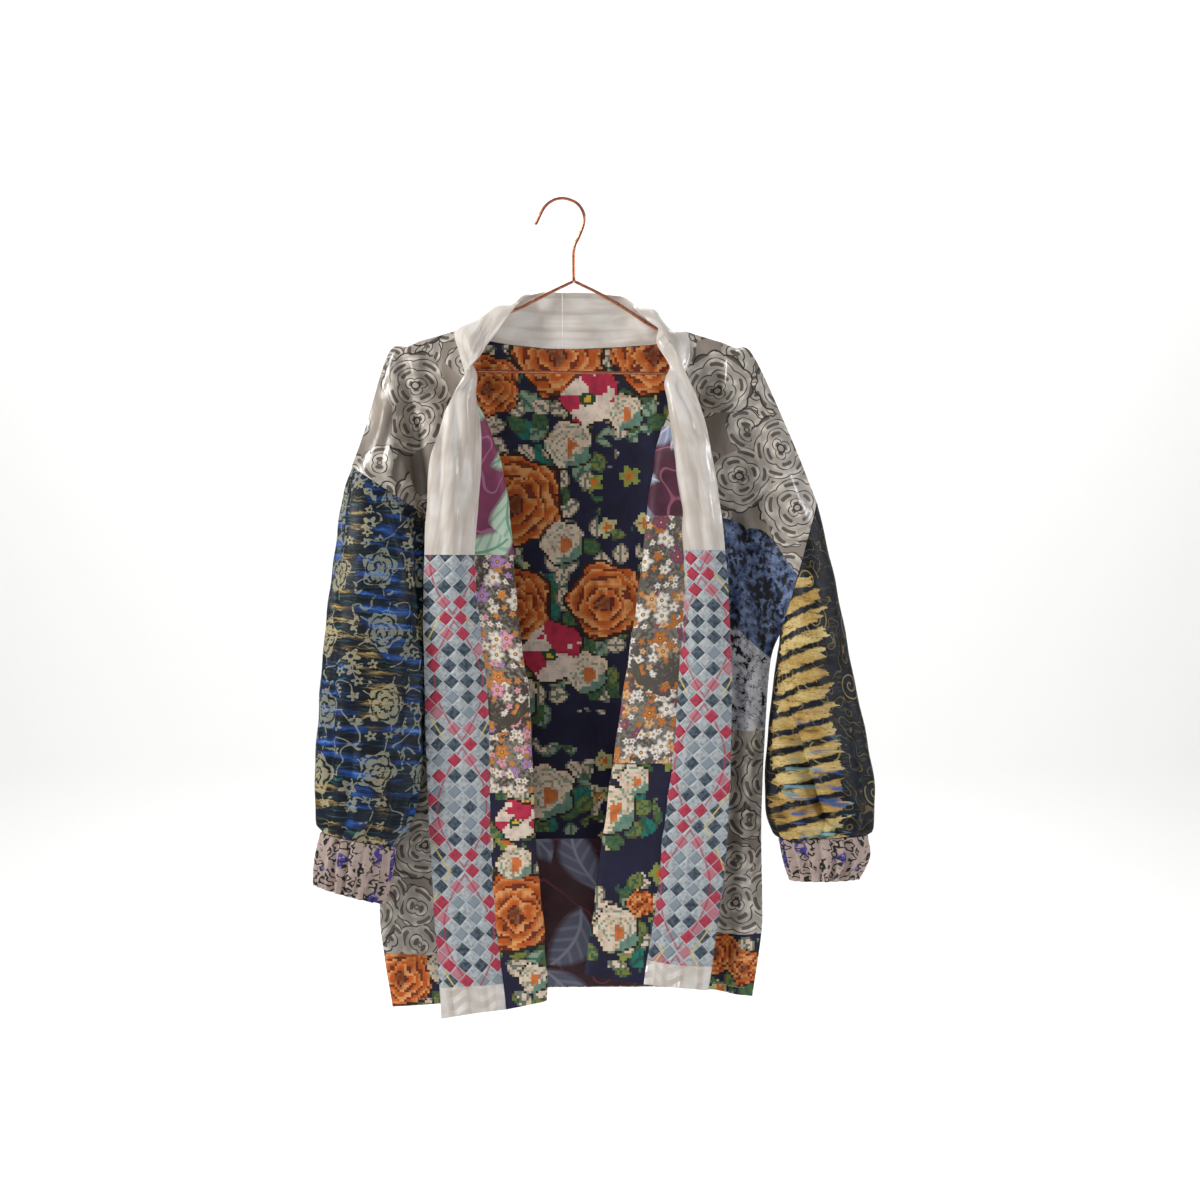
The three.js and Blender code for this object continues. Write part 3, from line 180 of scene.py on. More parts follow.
# The hem of the back from left to right, and the wires' paths.
BACK_HEM = (
    (-189.5, 3, -887.5), (-150, 8, -886), (-92, 11, -876), (-24, 11, -869), (44, 11, -869),
    (110, 11, -870), (170, 6, -872), (205.5, -3, -875),
)
HOOK_PATH = (
    (-32, 0, -26), (-23, 0, -8.5), (-12, 0, 0.2), (0, 0, 1.75), (13, 0, -3.5), (20.5, 0, -14.5),
    (20.5, 0, -26), (15, 0, -41), (10, 0, -54), (9.8, 0, -88),
)
ARM_LEFT_PATH = (
    (8, 0, -90), (-16.5, 0, -101.8), (-47, 0, -117.6), (-67, 0, -126.3), (-93.5, 0, -143.2),
    (-120, 0, -155.2), (-157, 0, -163), (-182, 0, -169.1), (-189.5, 0, -174), (-190.5, 0, -180),
    (-187, 0, -185.6), (-180, 0, -187.2), (-170, 0, -187.4),
)
ARM_RIGHT_PATH = (
    (11.6, 0, -90), (38, 0, -103), (66, 0, -119.4), (91, 0, -136.2), (115, 0, -148.6),
    (133, 0, -157.6), (172, 0, -166.4), (195, 0, -171.6), (202.5, 0, -176.5), (203, 0, -183),
    (199, 0, -189.5), (192, 0, -191.4), (182, 0, -191.5),
)
BAR_PATH = (
    (-169.6, 0, -187.4), (0, 0, -189.6), (181.6, 0, -191.5),
)
SHOULDER_POINT = 6             # the collar's row at the shoulder point
ROLL = 7.5                     # radius of the roll where a front turns back
LAPEL_LEAST = 4                # least width of the turned-back edge
ROLL_LEAD = 12                 # how far before its roll a front starts to turn

# Inner and outer face of each wall, from the middle of the outer cloth.
SHELL = (-0.6, 0.6)
LINING = (-1.9, -0.9)
BACK_LINING = (-2.2, -1.2)
BAND = (-1.9, 0.6)

CUFF_GATHERS = 18              # waves round the wrist
CUFF_GATHER_DEPTH = 2.9
CUFF_GATHER_START = 0.6        # share of that depth at the seam
SLEEVE_GATHERS = 11
SLEEVE_GATHER_DEPTH = 4
SLEEVE_GATHER_REACH = 2.2      # rows above the cuff
SLEEVE_GATHER_FADE = 0.4
SLEEVE_SETBACK = 0.55          # gap from the front to the sleeve
SLEEVE_FIRST_ROW = 45          # length of a sleeve's first row

BACK_STEP = 8                  # how far the back steps out under the collar
BACK_STEP_REACH = 0.02
BACK_BULGE = 11                # how far the shoulder blades push it out
BACK_BULGE_REACH = 0.3
BACK_NECK_BULGE = 0.45
BACK_EDGE_EASE = 0.14
BACK_WAVES = 3                 # hanging waves at the hem
BACK_WAVE_DEPTH = 4.5
BACK_WAVE_START = 0.6
BACK_FADES = (2, 3, 4)
BACK_ARM_SHARE = 0.2           # share of the side that the armhole takes
BACK_NECK_LEFT = 0.3
BACK_NECK_RIGHT = 0.7
BACK_NECK_EASE = 0.07

# Creases laid one by one. A front crease runs from one place to the other as seen from the
# front; depth is how far it sinks, and a negative depth is a ridge.
CREASES_LEFT = table("start end width depth",
    ((-179, -172), (-168, -237), 6, 6.8),
    ((-168, -237), (-161, -276), 6.5, 8.1),
    ((-161, -276), (-153, -338), 7, 6.8),
    ((-153, -160), (-149, -243), 6, 3),
    ((-140, -162), (-142, -226), 5, 2.4),
    ((-130, -205), (-139, -300), 5, 2.4),
    ((-196, -200), (-216, -262), 7, 4.3),
    ((-187, -236), (-204, -300), 6, 4.6),
    ((-206, -190), (-197, -246), 5, -2.7),
    ((-178, -262), (-184, -318), 6, 3.5),
    ((-150, -352), (-163, -520), 9, 4.1),
    ((-171, -560), (-167, -720), 12, 4.6),
    ((-186, -640), (-181, -800), 10, -3.5),
    ((-158, -700), (-165, -868), 9, 3.8),
    ((-182, -790), (-177, -880), 7, 2.7))
CREASES_RIGHT = table("start end width depth",
    ((186, -164), (222, -240), 9, 3),
    ((217, -292), (247, -376), 7, 4.9),
    ((226, -262), (256, -340), 6, -3.2),
    ((190, -306), (230, -400), 8, 4.1),
    ((184, -352), (222, -440), 8, 4.6),
    ((196, -402), (222, -492), 7, 4.9),
    ((181, -410), (184, -560), 7, 6.1),
    ((184, -560), (182, -700), 7, 6.8),
    ((182, -700), (177, -866), 7, 5.7),
    ((203, -520), (199, -660), 8, -3.8),
    ((198, -690), (192, -850), 8, -3.5),
    ((212, -600), (209, -760), 6, 3.5))
CREASES_BAND_LEFT = table("start end width depth",
    ((-88, -150), (-30, -124), 5, 1.8),
    ((-100, -172), (-70, -128), 4.5, 2),
    ((-132, -226), (-134, -420), 4, -1.6),
    ((-124, -214), (-122, -330), 5, 3.8),
    ((-122, -330), (-120, -424), 5, 3.1),
    ((-108, -224), (-105, -330), 4.5, 4.3),
    ((-105, -330), (-103, -420), 4.5, 2.8),
    ((-139, -262), (-141, -372), 4, 2.7))
CREASES_BAND_RIGHT = table("start end width depth",
    ((40, -126), (92, -134), 5, 1.8),
    ((84, -128), (112, -168), 4.5, 2.2),
    ((140, -250), (152, -420), 4, -1.8),
    ((113, -196), (127, -262), 4.5, 4.6),
    ((127, -262), (134, -340), 4.5, 5),
    ((134, -340), (138, -450), 4.5, 3.8),
    ((148, -270), (160, -380), 5, 3.1),
    ((120, -560), (112, -800), 4.5, 2.5))
CREASES_BACK = table("start end width depth",
    ((-150, -210), (-128, -330), 12, 4.5),
    ((170, -215), (160, -350), 12, 4.5),
    ((-60, -205), (-78, -420), 14, 3.4),
    ((96, -205), (110, -430), 14, 3.6),
    ((-118, -420), (-126, -800), 13, 4.8),
    ((8, -380), (16, -760), 16, 3.1),
    ((140, -470), (134, -820), 13, 4.8),
    ((60, -560), (66, -850), 12, -3.4),
    ((-46, -600), (-52, -860), 12, 3.4),
    ((-178, -520), (-172, -760), 10, 4.2),
    ((196, -560), (192, -780), 10, 3.6))
# Further, narrower sleeve folds.
SLEEVE_CREASES_LEFT = table("start end first last depth width",
    (0.1, 0.14, 2.4, 6.9, 5.9, 0.022),
    (0.2, 0.19, 3.4, 7, 5.3, 0.02),
    (0.33, 0.31, 4, 7, 5.7, 0.018),
    (0.05, 0.08, 0.2, 3, 5.3, 0.03),
    (0.26, 0.42, 0.1, 2.2, 5.9, 0.022),
    (0.38, 0.47, 0.2, 2.6, 5.3, 0.02),
    (0.6, 0.64, 1.4, 6.8, 7, 0.03),
    (0.86, 0.9, 1, 6.6, 7, 0.03))
SLEEVE_CREASES_RIGHT = table("start end first last depth width",
    (0.45, 0.14, 1.6, 7.4, 10, 0.022),
    (0.41, 0.095, 1.6, 7.4, -4, 0.02),
    (0.42, 0.3, 0.3, 3.4, 6, 0.022),
    (0.36, 0.24, 2.6, 5.6, 5.1, 0.02),
    (0.46, 0.36, 3, 6.8, 6, 0.02),
    (0.28, 0.24, 4.4, 7, 4.5, 0.018),
    (0.1, 0.07, 2, 6.6, 4.5, 0.03),
    (0.6, 0.66, 1.2, 6.8, 6.6, 0.03),
    (0.88, 0.84, 1, 6.4, 6, 0.03))
# Seams of the right front: the row at its outer edge, and the row further in.
RIGHT_SEAMS = ((3, 4.17), (5.95, 5.6), (7, 7), (10, 10))
RIGHT_SEAM_REACH = 2.2         # columns from the outer edge to that second row
# Rows where the other pieces of each front meet: the three strips of its lining, its hem
# piece, the printed band and the band's white end, and the foot of them all.
ROWS_LEFT = dict(top=2.5, middle=4.93, low=7.19, hem=9, print=4.93, end=9.3, foot=10)
ROWS_RIGHT = dict(top=2.6, middle=4.28, low=7.35, print=4.77, end=10.33, foot=11)
LEFT = 1
RIGHT = -1

BACK_TIGHT = 0.03              # share of the back's length with closer rows
BACK_SIDE_EASE = 0.05          # the folds fade out over this share of the width
BACK_TOP_EASE = 0.06
FRONT_SIDE_EASE = 0.7          # columns from the outer edge
FRONT_TOP_EASE = 0.25          # rows from the shoulder
BAND_EASE = 0.12
LINING_DETAIL = 0.8            # share of the usual length of a face
BAND_DETAIL = 0.85
BAND_FACES = 18                # across the band
SLEEVE_FACES = 192             # round a sleeve
CUFF_FACES = 288
BAND_RIPPLE = 1.2              # share of the usual ripple
CUFF_RIPPLE = 0.6


# ------------------------------------------------------------------ form functions, in mm
def through(points, row):
    """A smooth curve through points, read at an array of rows."""
    points = np.asarray(points, float)
    last = len(points) - 1
    row = np.clip(np.asarray(row, float), 0, last)
    first = np.minimum(row.astype(int), last - 1)
    step = (row - first)[:, None]
    padded = np.concatenate([2 * points[:1] - points[1:2], points,
                             2 * points[-1:] - points[-2:-1]])
    if padded.ndim == 2:
        before, start, end, after = (padded[first + k] for k in range(4))
    else:
        place = np.arange(len(row))
        before, start, end, after = (padded[first + k, place] for k in range(4))
    out = (end - before) / 2
    into = (after - start) / 2
    return (start + out * step + (3 * (end - start) - 2 * out - into) * step ** 2
            + (2 * (start - end) + out + into) * step ** 3)


def column(values):
    """One number for each row, smooth between the rows."""
    points = np.array([[value] for value in values], float)
    return lambda row: through(points, row)[:, 0]


def mixed(start, end, share):
    return start + (end - start) * share


def smooth(value):
    value = np.clip(value, 0, 1)
    return value * value * (3 - 2 * value)


def eased(share, reach):
    """0 at both ends of a share and 1 between, with soft ends."""
    return smooth(share / reach) * smooth((1 - share) / reach)


def settled(value):
    """From 0 to 1, fast at first."""
    return 1 - (1 - np.clip(value, 0, 1)) ** 2


class Collar:
    """One half of the band: across from the neck seam to the free edge."""

    def __init__(self, rows):
        self.lines = [[row[name] for row in rows] for name in ("seam", "crown", "edge")]

    def seam(self, row):
        return through(self.lines[0], row)

    def __call__(self, across, row):
        seam, crown, edge = (through(line, row) for line in self.lines)
        u = across[:, None]
        return seam * (1 - u) * (1 - 2 * u) + crown * 4 * u * (1 - u) + edge * u * (2 * u - 1)


class Rings:
    """A tube through rings: turns from the outer point over the front, and rows."""

    def __init__(self, rows):
        self.outer = [row["outer"] for row in rows]
        self.inner = [row["inner"] for row in rows]
        self.half = column([row["half"] for row in rows])
        self.pressed = column([row["pressed"] for row in rows])
        self.last = len(rows) - 1

    def __call__(self, turn, row):
        angle = math.tau * turn
        share = ((1 - np.cos(angle)) / 2)[:, None]
        swing = np.sin(angle)
        place = mixed(through(self.outer, row), through(self.inner, row), share)
        pressed = np.maximum(0, self.pressed(row))
        place[:, 1] -= self.half(row) * np.sign(swing) * np.abs(swing) ** (1 + pressed)
        return place

    def inwards(self, place, row):
        middle = (through(self.outer, row) + through(self.inner, row)) / 2
        away = middle - place
        return away / np.linalg.norm(away, axis=1)[:, None]


def fold_depth(folds, turn, row):
    """How far a sleeve's folds sink it at each turn and row."""
    total = np.zeros(len(turn))
    for fold in folds:
        along = np.clip((row - fold["first"]) / (fold["last"] - fold["first"]), 0, 1)
        away = (turn - mixed(fold["start"], fold["end"], along)) / fold["width"]
        total += fold["depth"] * np.sin(math.pi * along) * np.exp(-away * away)
    return total


class Sleeve(Rings):
    """A sleeve with its large folds and the fullness above the cuff."""

    def __init__(self, rows, folds):
        super().__init__(rows)
        self.folds = folds

    def __call__(self, turn, row):
        wrapped = turn - np.floor(turn)
        place = super().__call__(wrapped, row)
        above = self.last - row
        gather = smooth((SLEEVE_GATHER_REACH - above) / 2) * smooth(above / SLEEVE_GATHER_FADE)
        uneven = 1 + 0.35 * np.sin(math.tau * 3 * turn + 1)
        wave = SLEEVE_GATHER_DEPTH * gather * uneven * np.cos(math.tau * SLEEVE_GATHERS * turn)
        depth = fold_depth(self.folds, wrapped, row) + wave
        return place + self.inwards(place, row) * depth[:, None]


class Cuff(Rings):
    """A cuff with its elastic gathers, uneven round the wrist."""

    def __call__(self, turn, row):
        place = super().__call__(turn, row)
        grown = mixed(CUFF_GATHER_START, 1, smooth(row / self.last))
        uneven = 1 + 0.4 * np.sin(math.tau * 5 * turn + 2)
        lean = 0.35 * np.sin(math.tau * 4 * turn) * row
        wave = CUFF_GATHER_DEPTH * grown * uneven * np.cos(math.tau * CUFF_GATHERS * turn + lean)
        return place + self.inwards(place, row) * wave[:, None]


class Front:
    """A front: across 0 to 7 from its outer edge over the roll to the band's seam."""

    ROLL_START = 5
    ROLL_END = 6
    END = 7

    def __init__(self, yoke, body, columns, collar, armhole, side):
        rows = (*yoke, *body)
        self.collar, self.armhole, self.side = collar, armhole, side
        self.roll_length = math.pi * ROLL
        self.collar_row = column([row["collar"] for row in rows])
        self.turn = column([row.get("turn", 1) for row in rows])
        self.lapel = column([self.lapel_of(row) for row in rows])
        self.lift = column([row["lift"] for row in rows])
        self.underarm = len(yoke) - 1
        self.last = len(rows) - 1
        self.arm = column([row["arm"] for row in yoke])
        self.outer_line = [
            row["side"] if "side" in row else tuple(armhole(np.array([row["arm"]], float))[0])
            for row in rows]
        self.inner_lines = [
            [row[name] for row in yoke]
            + [self.body_place(row, len(yoke) + index, columns[c])
               for index, row in enumerate(body)]
            for c, name in enumerate(("drop", "corner", "chest"))]

    def lapel_of(self, row):
        """Width of the turned-back edge of a table's row."""
        if row["fold"] is None:
            return LAPEL_LEAST
        seam = self.collar.seam(np.array([row["collar"]], float))[0]
        return (row["fold"] - seam[0]) * self.side - ROLL + LINING[0]

    def rolled(self, share, turn):
        """Along, forward and angle of a place on the roll; turn is 1 for a full half-circle."""
        angle = math.pi * np.maximum(turn, 0.01)
        radius = self.roll_length / angle
        reached = angle * share
        return radius * np.sin(reached), -radius * (1 - np.cos(reached)), reached

    def roll_start(self, row):
        along, forward, angle = self.rolled(1, self.turn(row))
        lapel = self.lapel(row)
        start = self.collar.seam(self.collar_row(row))
        start[:, 0] -= self.side * (along + lapel * np.cos(angle))
        start[:, 1] -= forward - lapel * np.sin(angle)
        start[:, 2] += self.lift(row)
        return start

    def lead(self, row):
        place = self.roll_start(row)
        place[:, 0] -= self.side * ROLL_LEAD
        place[:, 2] += self.lift(row) * ROLL_LEAD / (self.roll_length + self.lapel(row))
        return place

    def body_place(self, row, index, shares):
        end = self.lead(np.array([index], float))[0]
        start = np.array(row["side"], float)
        share = np.array([shares["share"], shares["depth"], shares["share"]])
        return tuple(start + (end - start) * share)

    def outer(self, row):
        at_arm = self.armhole(np.clip(self.arm(row), 0, 1))
        below = through(self.outer_line, row)
        return np.where((row <= self.underarm)[:, None], at_arm, below)

    def __call__(self, across, row):
        lines = [self.outer(row), *(through(line, row) for line in self.inner_lines),
                 self.lead(row), self.roll_start(row)]
        flat = through(np.array(lines), np.minimum(across, self.ROLL_START))
        share = np.clip(across - self.ROLL_START, 0, 1)
        along, forward, angle = self.rolled(share, self.turn(row))
        lapel = self.lapel(row) * np.maximum(0, across - self.ROLL_END)
        turned = self.roll_start(row)
        turned[:, 0] += self.side * (along + lapel * np.cos(angle))
        turned[:, 1] += forward - lapel * np.sin(angle)
        length = self.roll_length + self.lapel(row)
        turned[:, 2] -= self.lift(row) * (share * self.roll_length + lapel) / length
        return np.where((across < self.ROLL_START)[:, None], flat, turned)


class Back:
    """The back between shoulders, side seams and hem: shares of its width and length."""

    def __init__(self, collars, arms, fronts):
        self.collars, self.arms, self.fronts = collars, arms, fronts
        first = np.zeros(1)
        self.shoulders = (
            [tuple(arms[0](first)[0]), YOKE_LEFT[0]["drop"], YOKE_LEFT[0]["corner"],
             YOKE_LEFT[0]["chest"], COLLAR_LEFT[SHOULDER_POINT]["seam"]],
            [COLLAR_RIGHT[SHOULDER_POINT]["seam"], YOKE_RIGHT[0]["chest"],
             YOKE_RIGHT[0]["corner"], YOKE_RIGHT[0]["drop"], tuple(arms[1](first)[0])])
        ends = np.array([0.0, 1.0])
        self.top_ends = self.top(ends)
        self.hem_ends = self.hem(ends)

    def top(self, u):
        middle = (BACK_NECK_LEFT + BACK_NECK_RIGHT) / 2
        reach = SHOULDER_POINT / (middle - BACK_NECK_LEFT)
        left = through(self.shoulders[0], 4 * u / BACK_NECK_LEFT)
        right = through(self.shoulders[1], 4 * (u - BACK_NECK_RIGHT) / (1 - BACK_NECK_RIGHT))
        neck_left = self.collars[0].seam((middle - u) * reach)
        neck_right = self.collars[1].seam((u - middle) * reach)
        u = u[:, None]
        neck = np.where(u < middle, neck_left, neck_right)
        return np.where(u < BACK_NECK_LEFT, left, np.where(u > BACK_NECK_RIGHT, right, neck))

    def hem(self, u):
        return through(BACK_HEM, u * (len(BACK_HEM) - 1))

    def edge(self, index, v):
        front = self.fronts[index]
        above = self.arms[index](np.minimum(v / BACK_ARM_SHARE, 1))
        share = np.maximum(0, v - BACK_ARM_SHARE) / (1 - BACK_ARM_SHARE)
        row = mixed(front.underarm, front.last, share)
        below = front(np.zeros(len(v)), np.maximum(row, front.underarm + 1e-6))
        return np.where((v < BACK_ARM_SHARE)[:, None], above, below)

    def __call__(self, u, v):
        u, v = np.clip(u, 0, 1), np.clip(v, 0, 1)
        place = mixed(self.top(u), self.hem(u), v[:, None])
        for index, share in ((0, 1 - u), (1, u)):
            straight = mixed(self.top_ends[index], self.hem_ends[index], v[:, None])
            fade = share[:, None] ** np.array(BACK_FADES)
            place += (self.edge(index, v) - straight) * fade
        ease = eased(u, BACK_EDGE_EASE)
        neck = np.sin(math.pi * u) ** 2 * (1 - smooth(v / BACK_BULGE_REACH))
        beneath = (smooth((u - BACK_NECK_LEFT) / BACK_NECK_EASE)
                   * smooth((BACK_NECK_RIGHT - u) / BACK_NECK_EASE))
        bulge = (BACK_BULGE * settled(v / BACK_BULGE_REACH) * (1 - (1 - BACK_NECK_BULGE) * neck)
                 + BACK_STEP * settled(v / BACK_STEP_REACH) * (1 - beneath))
        waves = BACK_WAVE_DEPTH * v * v * np.cos(math.tau * BACK_WAVES * u + BACK_WAVE_START)
        place[:, 1] += ease * (bulge + waves)
        return place


def armholes(rows):
    """Front and back half of a sleeve's first ring, from the shoulder to the underarm."""
    ring = Rings(rows)
    zero = lambda share: np.zeros(len(share))
    return (lambda share: ring(0.5 * share, zero(share)),
            lambda share: ring(1 - 0.5 * share, zero(share)))


collar_left, collar_right = Collar(COLLAR_LEFT), Collar(COLLAR_RIGHT)
arm_left, arm_right = armholes(SLEEVE_LEFT), armholes(SLEEVE_RIGHT)
front_left = Front(YOKE_LEFT, BODY_LEFT, BODY_COLUMNS_LEFT, collar_left, arm_left[0], LEFT)
front_right = Front(YOKE_RIGHT, BODY_RIGHT, BODY_COLUMNS_RIGHT, collar_right, arm_right[0], RIGHT)
back = Back((collar_left, collar_right), (arm_left[1], arm_right[1]), (front_left, front_right))


# ------------------------------------------------------------------ cloth walls
def facing(places, sign, wrapped=False):
    """Outward directions of a grid of places, rows by columns."""
    if wrapped:
        core = places[:, :-1]
        across = np.roll(core, -1, axis=1) - np.roll(core, 1, axis=1)
        across = np.concatenate([across, across[:, :1]], axis=1)
    else:
        across = np.gradient(places, axis=1)
    down = np.gradient(places, axis=0)
    normal = np.cross(across, down)
    return sign * normal / np.maximum(np.linalg.norm(normal, axis=2), 1e-9)[..., None]


CREASE_OVERRUN = 0.15          # how far a crease runs past its ends, as a share of its length
CREASE_FADE = 0.35
SHARP_EDGE = math.radians(55)  # the cloth's edges are sharper than this, its folds softer


def crease_depth(creases, places):
    """How far the creases sink the cloth at each place, as seen from the front."""
    x, z = places[..., 0], places[..., 2]
    total = np.zeros(x.shape)
    for crease in creases:
        start, end = np.array(crease["start"], float), np.array(crease["end"], float)
        line = end - start
        length = np.linalg.norm(line)
        along = ((x - start[0]) * line[0] + (z - start[1]) * line[1]) / length ** 2
        away = ((x - start[0]) * line[1] - (z - start[1]) * line[0]) / length
        fade = (smooth((along + CREASE_OVERRUN) / CREASE_FADE)
                * smooth((1 + CREASE_OVERRUN - along) / CREASE_FADE))
        total += crease["depth"] * fade * np.exp(-(away / crease["width"]) ** 2)
    return total


def ripples(places, depth):
    """Small uneven ripples of worn cloth."""
    x, y, z = (places[..., k] for k in range(3))
    waves = (np.sin(x / 11 + 0.9 * np.sin(z / 37)) * np.sin(z / 29 + 1.3)
             + 0.7 * np.sin((x + 0.6 * z) / 17 + 0.6) * np.sin((z - 0.3 * x) / 41)
             + 0.5 * np.sin((y + z) / 8.3 + np.sin(x / 23)))
    return depth * waves


def along_cloth(places, axis):
    """Length along the cloth from the first column or row to each place."""
    steps = np.linalg.norm(np.diff(places, axis=axis), axis=2)
    start = np.zeros((places.shape[0], 1) if axis == 1 else (1, places.shape[1]))
    return np.concatenate([start, np.cumsum(steps, axis=axis)], axis=axis)


def rows_at(vs, us):
    """The row number of each place, where a row may be a function of its columns."""
    return np.array([row(us) if callable(row) else np.full(len(us), float(row)) for row in vs])


def grid_of(surface, us, vs):
    """Places of a surface at columns us and rows vs, where a row may slant along us."""
    columns = np.broadcast_to(np.asarray(us, float), (len(vs), len(us)))
    return surface(columns.ravel(), rows_at(vs, us).ravel()).reshape(len(vs), len(us), 3)


def linked(name, data):
    """A new object of the scene that shows the data."""
    made = bpy.data.objects.new(name, data)
    bpy.context.collection.objects.link(made)
    return made


def wall_faces(outer, inner, closed):
    """Corners of a wall's faces from two grids of indices: both sides, then all edges."""
    def quads(*corners):
        return np.stack(corners, axis=-1).reshape(-1, 4)
    faces = [
        quads(outer[:-1, :-1], outer[:-1, 1:], outer[1:, 1:], outer[1:, :-1]),
        quads(inner[:-1, :-1], inner[1:, :-1], inner[1:, 1:], inner[:-1, 1:]),
        quads(outer[0, 1:], outer[0, :-1], inner[0, :-1], inner[0, 1:]),
        quads(outer[-1, :-1], outer[-1, 1:], inner[-1, 1:], inner[-1, :-1]),
    ]
    if not closed:
        faces.append(quads(outer[:-1, 0], outer[1:, 0], inner[1:, 0], inner[:-1, 0]))
        faces.append(quads(outer[1:, -1], outer[:-1, -1], inner[:-1, -1], inner[1:, -1]))
    return np.concatenate(faces)


def cloth_piece(name, places, layer, sign, material, creases=(), ripple=0.5, wrapped=False,
                fade=1):
    """A closed thin wall on a grid of places, with its creases, in metres.

    Returns it with the widest and longest measure along the cloth, and its mean area.
    """
    if wrapped:
        places[:, -1] = places[:, 0]
    outward = facing(places, sign, wrapped)
    depth = (crease_depth(creases, places) + ripples(places, ripple)) * fade
    places = places - outward * depth[..., None]
    outward = facing(places, sign, wrapped)

    rows, columns = places.shape[:2]
    around = columns - 1 if wrapped else columns
    corners = np.concatenate([(places + outward * reach)[:, :around].reshape(-1, 3) * MM
                              for reach in reversed(layer)])
    index = np.arange(rows * around).reshape(rows, around)
    if wrapped:
        index = np.concatenate([index, index[:, :1]], axis=1)
    faces = wall_faces(index, index + rows * around, wrapped)

    widths, lengths = along_cloth(places, 1) * MM, along_cloth(places, 0) * MM
    across = widths
    if wrapped:
        even = np.linspace(0, 1, columns) * widths[:, -1].mean()
        across = np.broadcast_to(even, (rows, columns))
    spot = np.arange(rows * columns).reshape(rows, columns)
    uvs = np.stack([across, lengths], axis=-1).reshape(-1, 2)[wall_faces(spot, spot, wrapped)]
    if sign < 0:
        faces, uvs = faces[:, ::-1], uvs[:, ::-1]

    mesh = bpy.data.meshes.new(name)
    mesh.from_pydata(corners.tolist(), [], faces.tolist())
    mesh.uv_layers.new(name="cloth").data.foreach_set("uv", uvs.reshape(-1).astype(np.float32))
    mesh.validate()
    piece = linked(name, mesh)
    mesh.shade_smooth()
    mesh.set_sharp_from_angle(angle=SHARP_EDGE)
    mesh.materials.append(material)
    across_all, down_all = widths[:, -1], lengths[-1]
    return (piece, (float(across_all.max()), float(down_all.max())),
            float(across_all.mean()) * float(down_all.mean()))


# ------------------------------------------------------------------ materials
def does(operation):
    """A method that adds one Math node."""
    return lambda self, *others: self.math(operation, *others)


class Value:
    """A number in a material's node tree, so that sums of nodes read as plain sums."""

    def __init__(self, tree, socket):
        self.tree, self.socket = tree, socket

    def math(self, operation, *others):
        node = self.tree.nodes.new("ShaderNodeMath")
        node.operation = operation
        for slot, value in zip(node.inputs, (self, *others)):
            join(self.tree, value, slot)
        return Value(self.tree, node.outputs[0])

    __add__ = __radd__ = does("ADD")
    __mul__ = __rmul__ = does("MULTIPLY")
    __sub__ = does("SUBTRACT")
    __truediv__ = does("DIVIDE")
    above = does("GREATER_THAN")
    below = does("LESS_THAN")
    most = does("MAXIMUM")
    least = does("MINIMUM")
    floor = does("FLOOR")
    part = does("FRACT")
    size = does("ABSOLUTE")
    sin = does("SINE")
    cos = does("COSINE")
    sqrt = does("SQRT")

    def __rsub__(self, other):
        return self.math("MULTIPLY_ADD", -1.0, other)

    def soft(self, low, high):
        """0 below low, 1 above high, smooth between them."""
        node = self.tree.nodes.new("ShaderNodeMapRange")
        node.interpolation_type = "SMOOTHSTEP"
        for name, value in (("Value", self), ("From Min", low), ("From Max", high)):
            join(self.tree, value, node.inputs[name])
        return Value(self.tree, node.outputs[0])


def join(tree, value, slot):
    """Links an earlier value to a socket, or sets a plain one on it."""
    if isinstance(value, Value):
        tree.links.new(value.socket, slot)
    else:
        slot.default_value = value


def linear(colour):
    """A display colour, such as '#A5A09B' or three shares, as the shader's own values."""
    if isinstance(colour, str):
        colour = [int(colour[k:k + 2], 16) / 255 for k in (1, 3, 5)]
    return (*(c / 12.92 if c <= 0.04045 else ((c + 0.055) / 1.055) ** 2.4 for c in colour), 1.0)


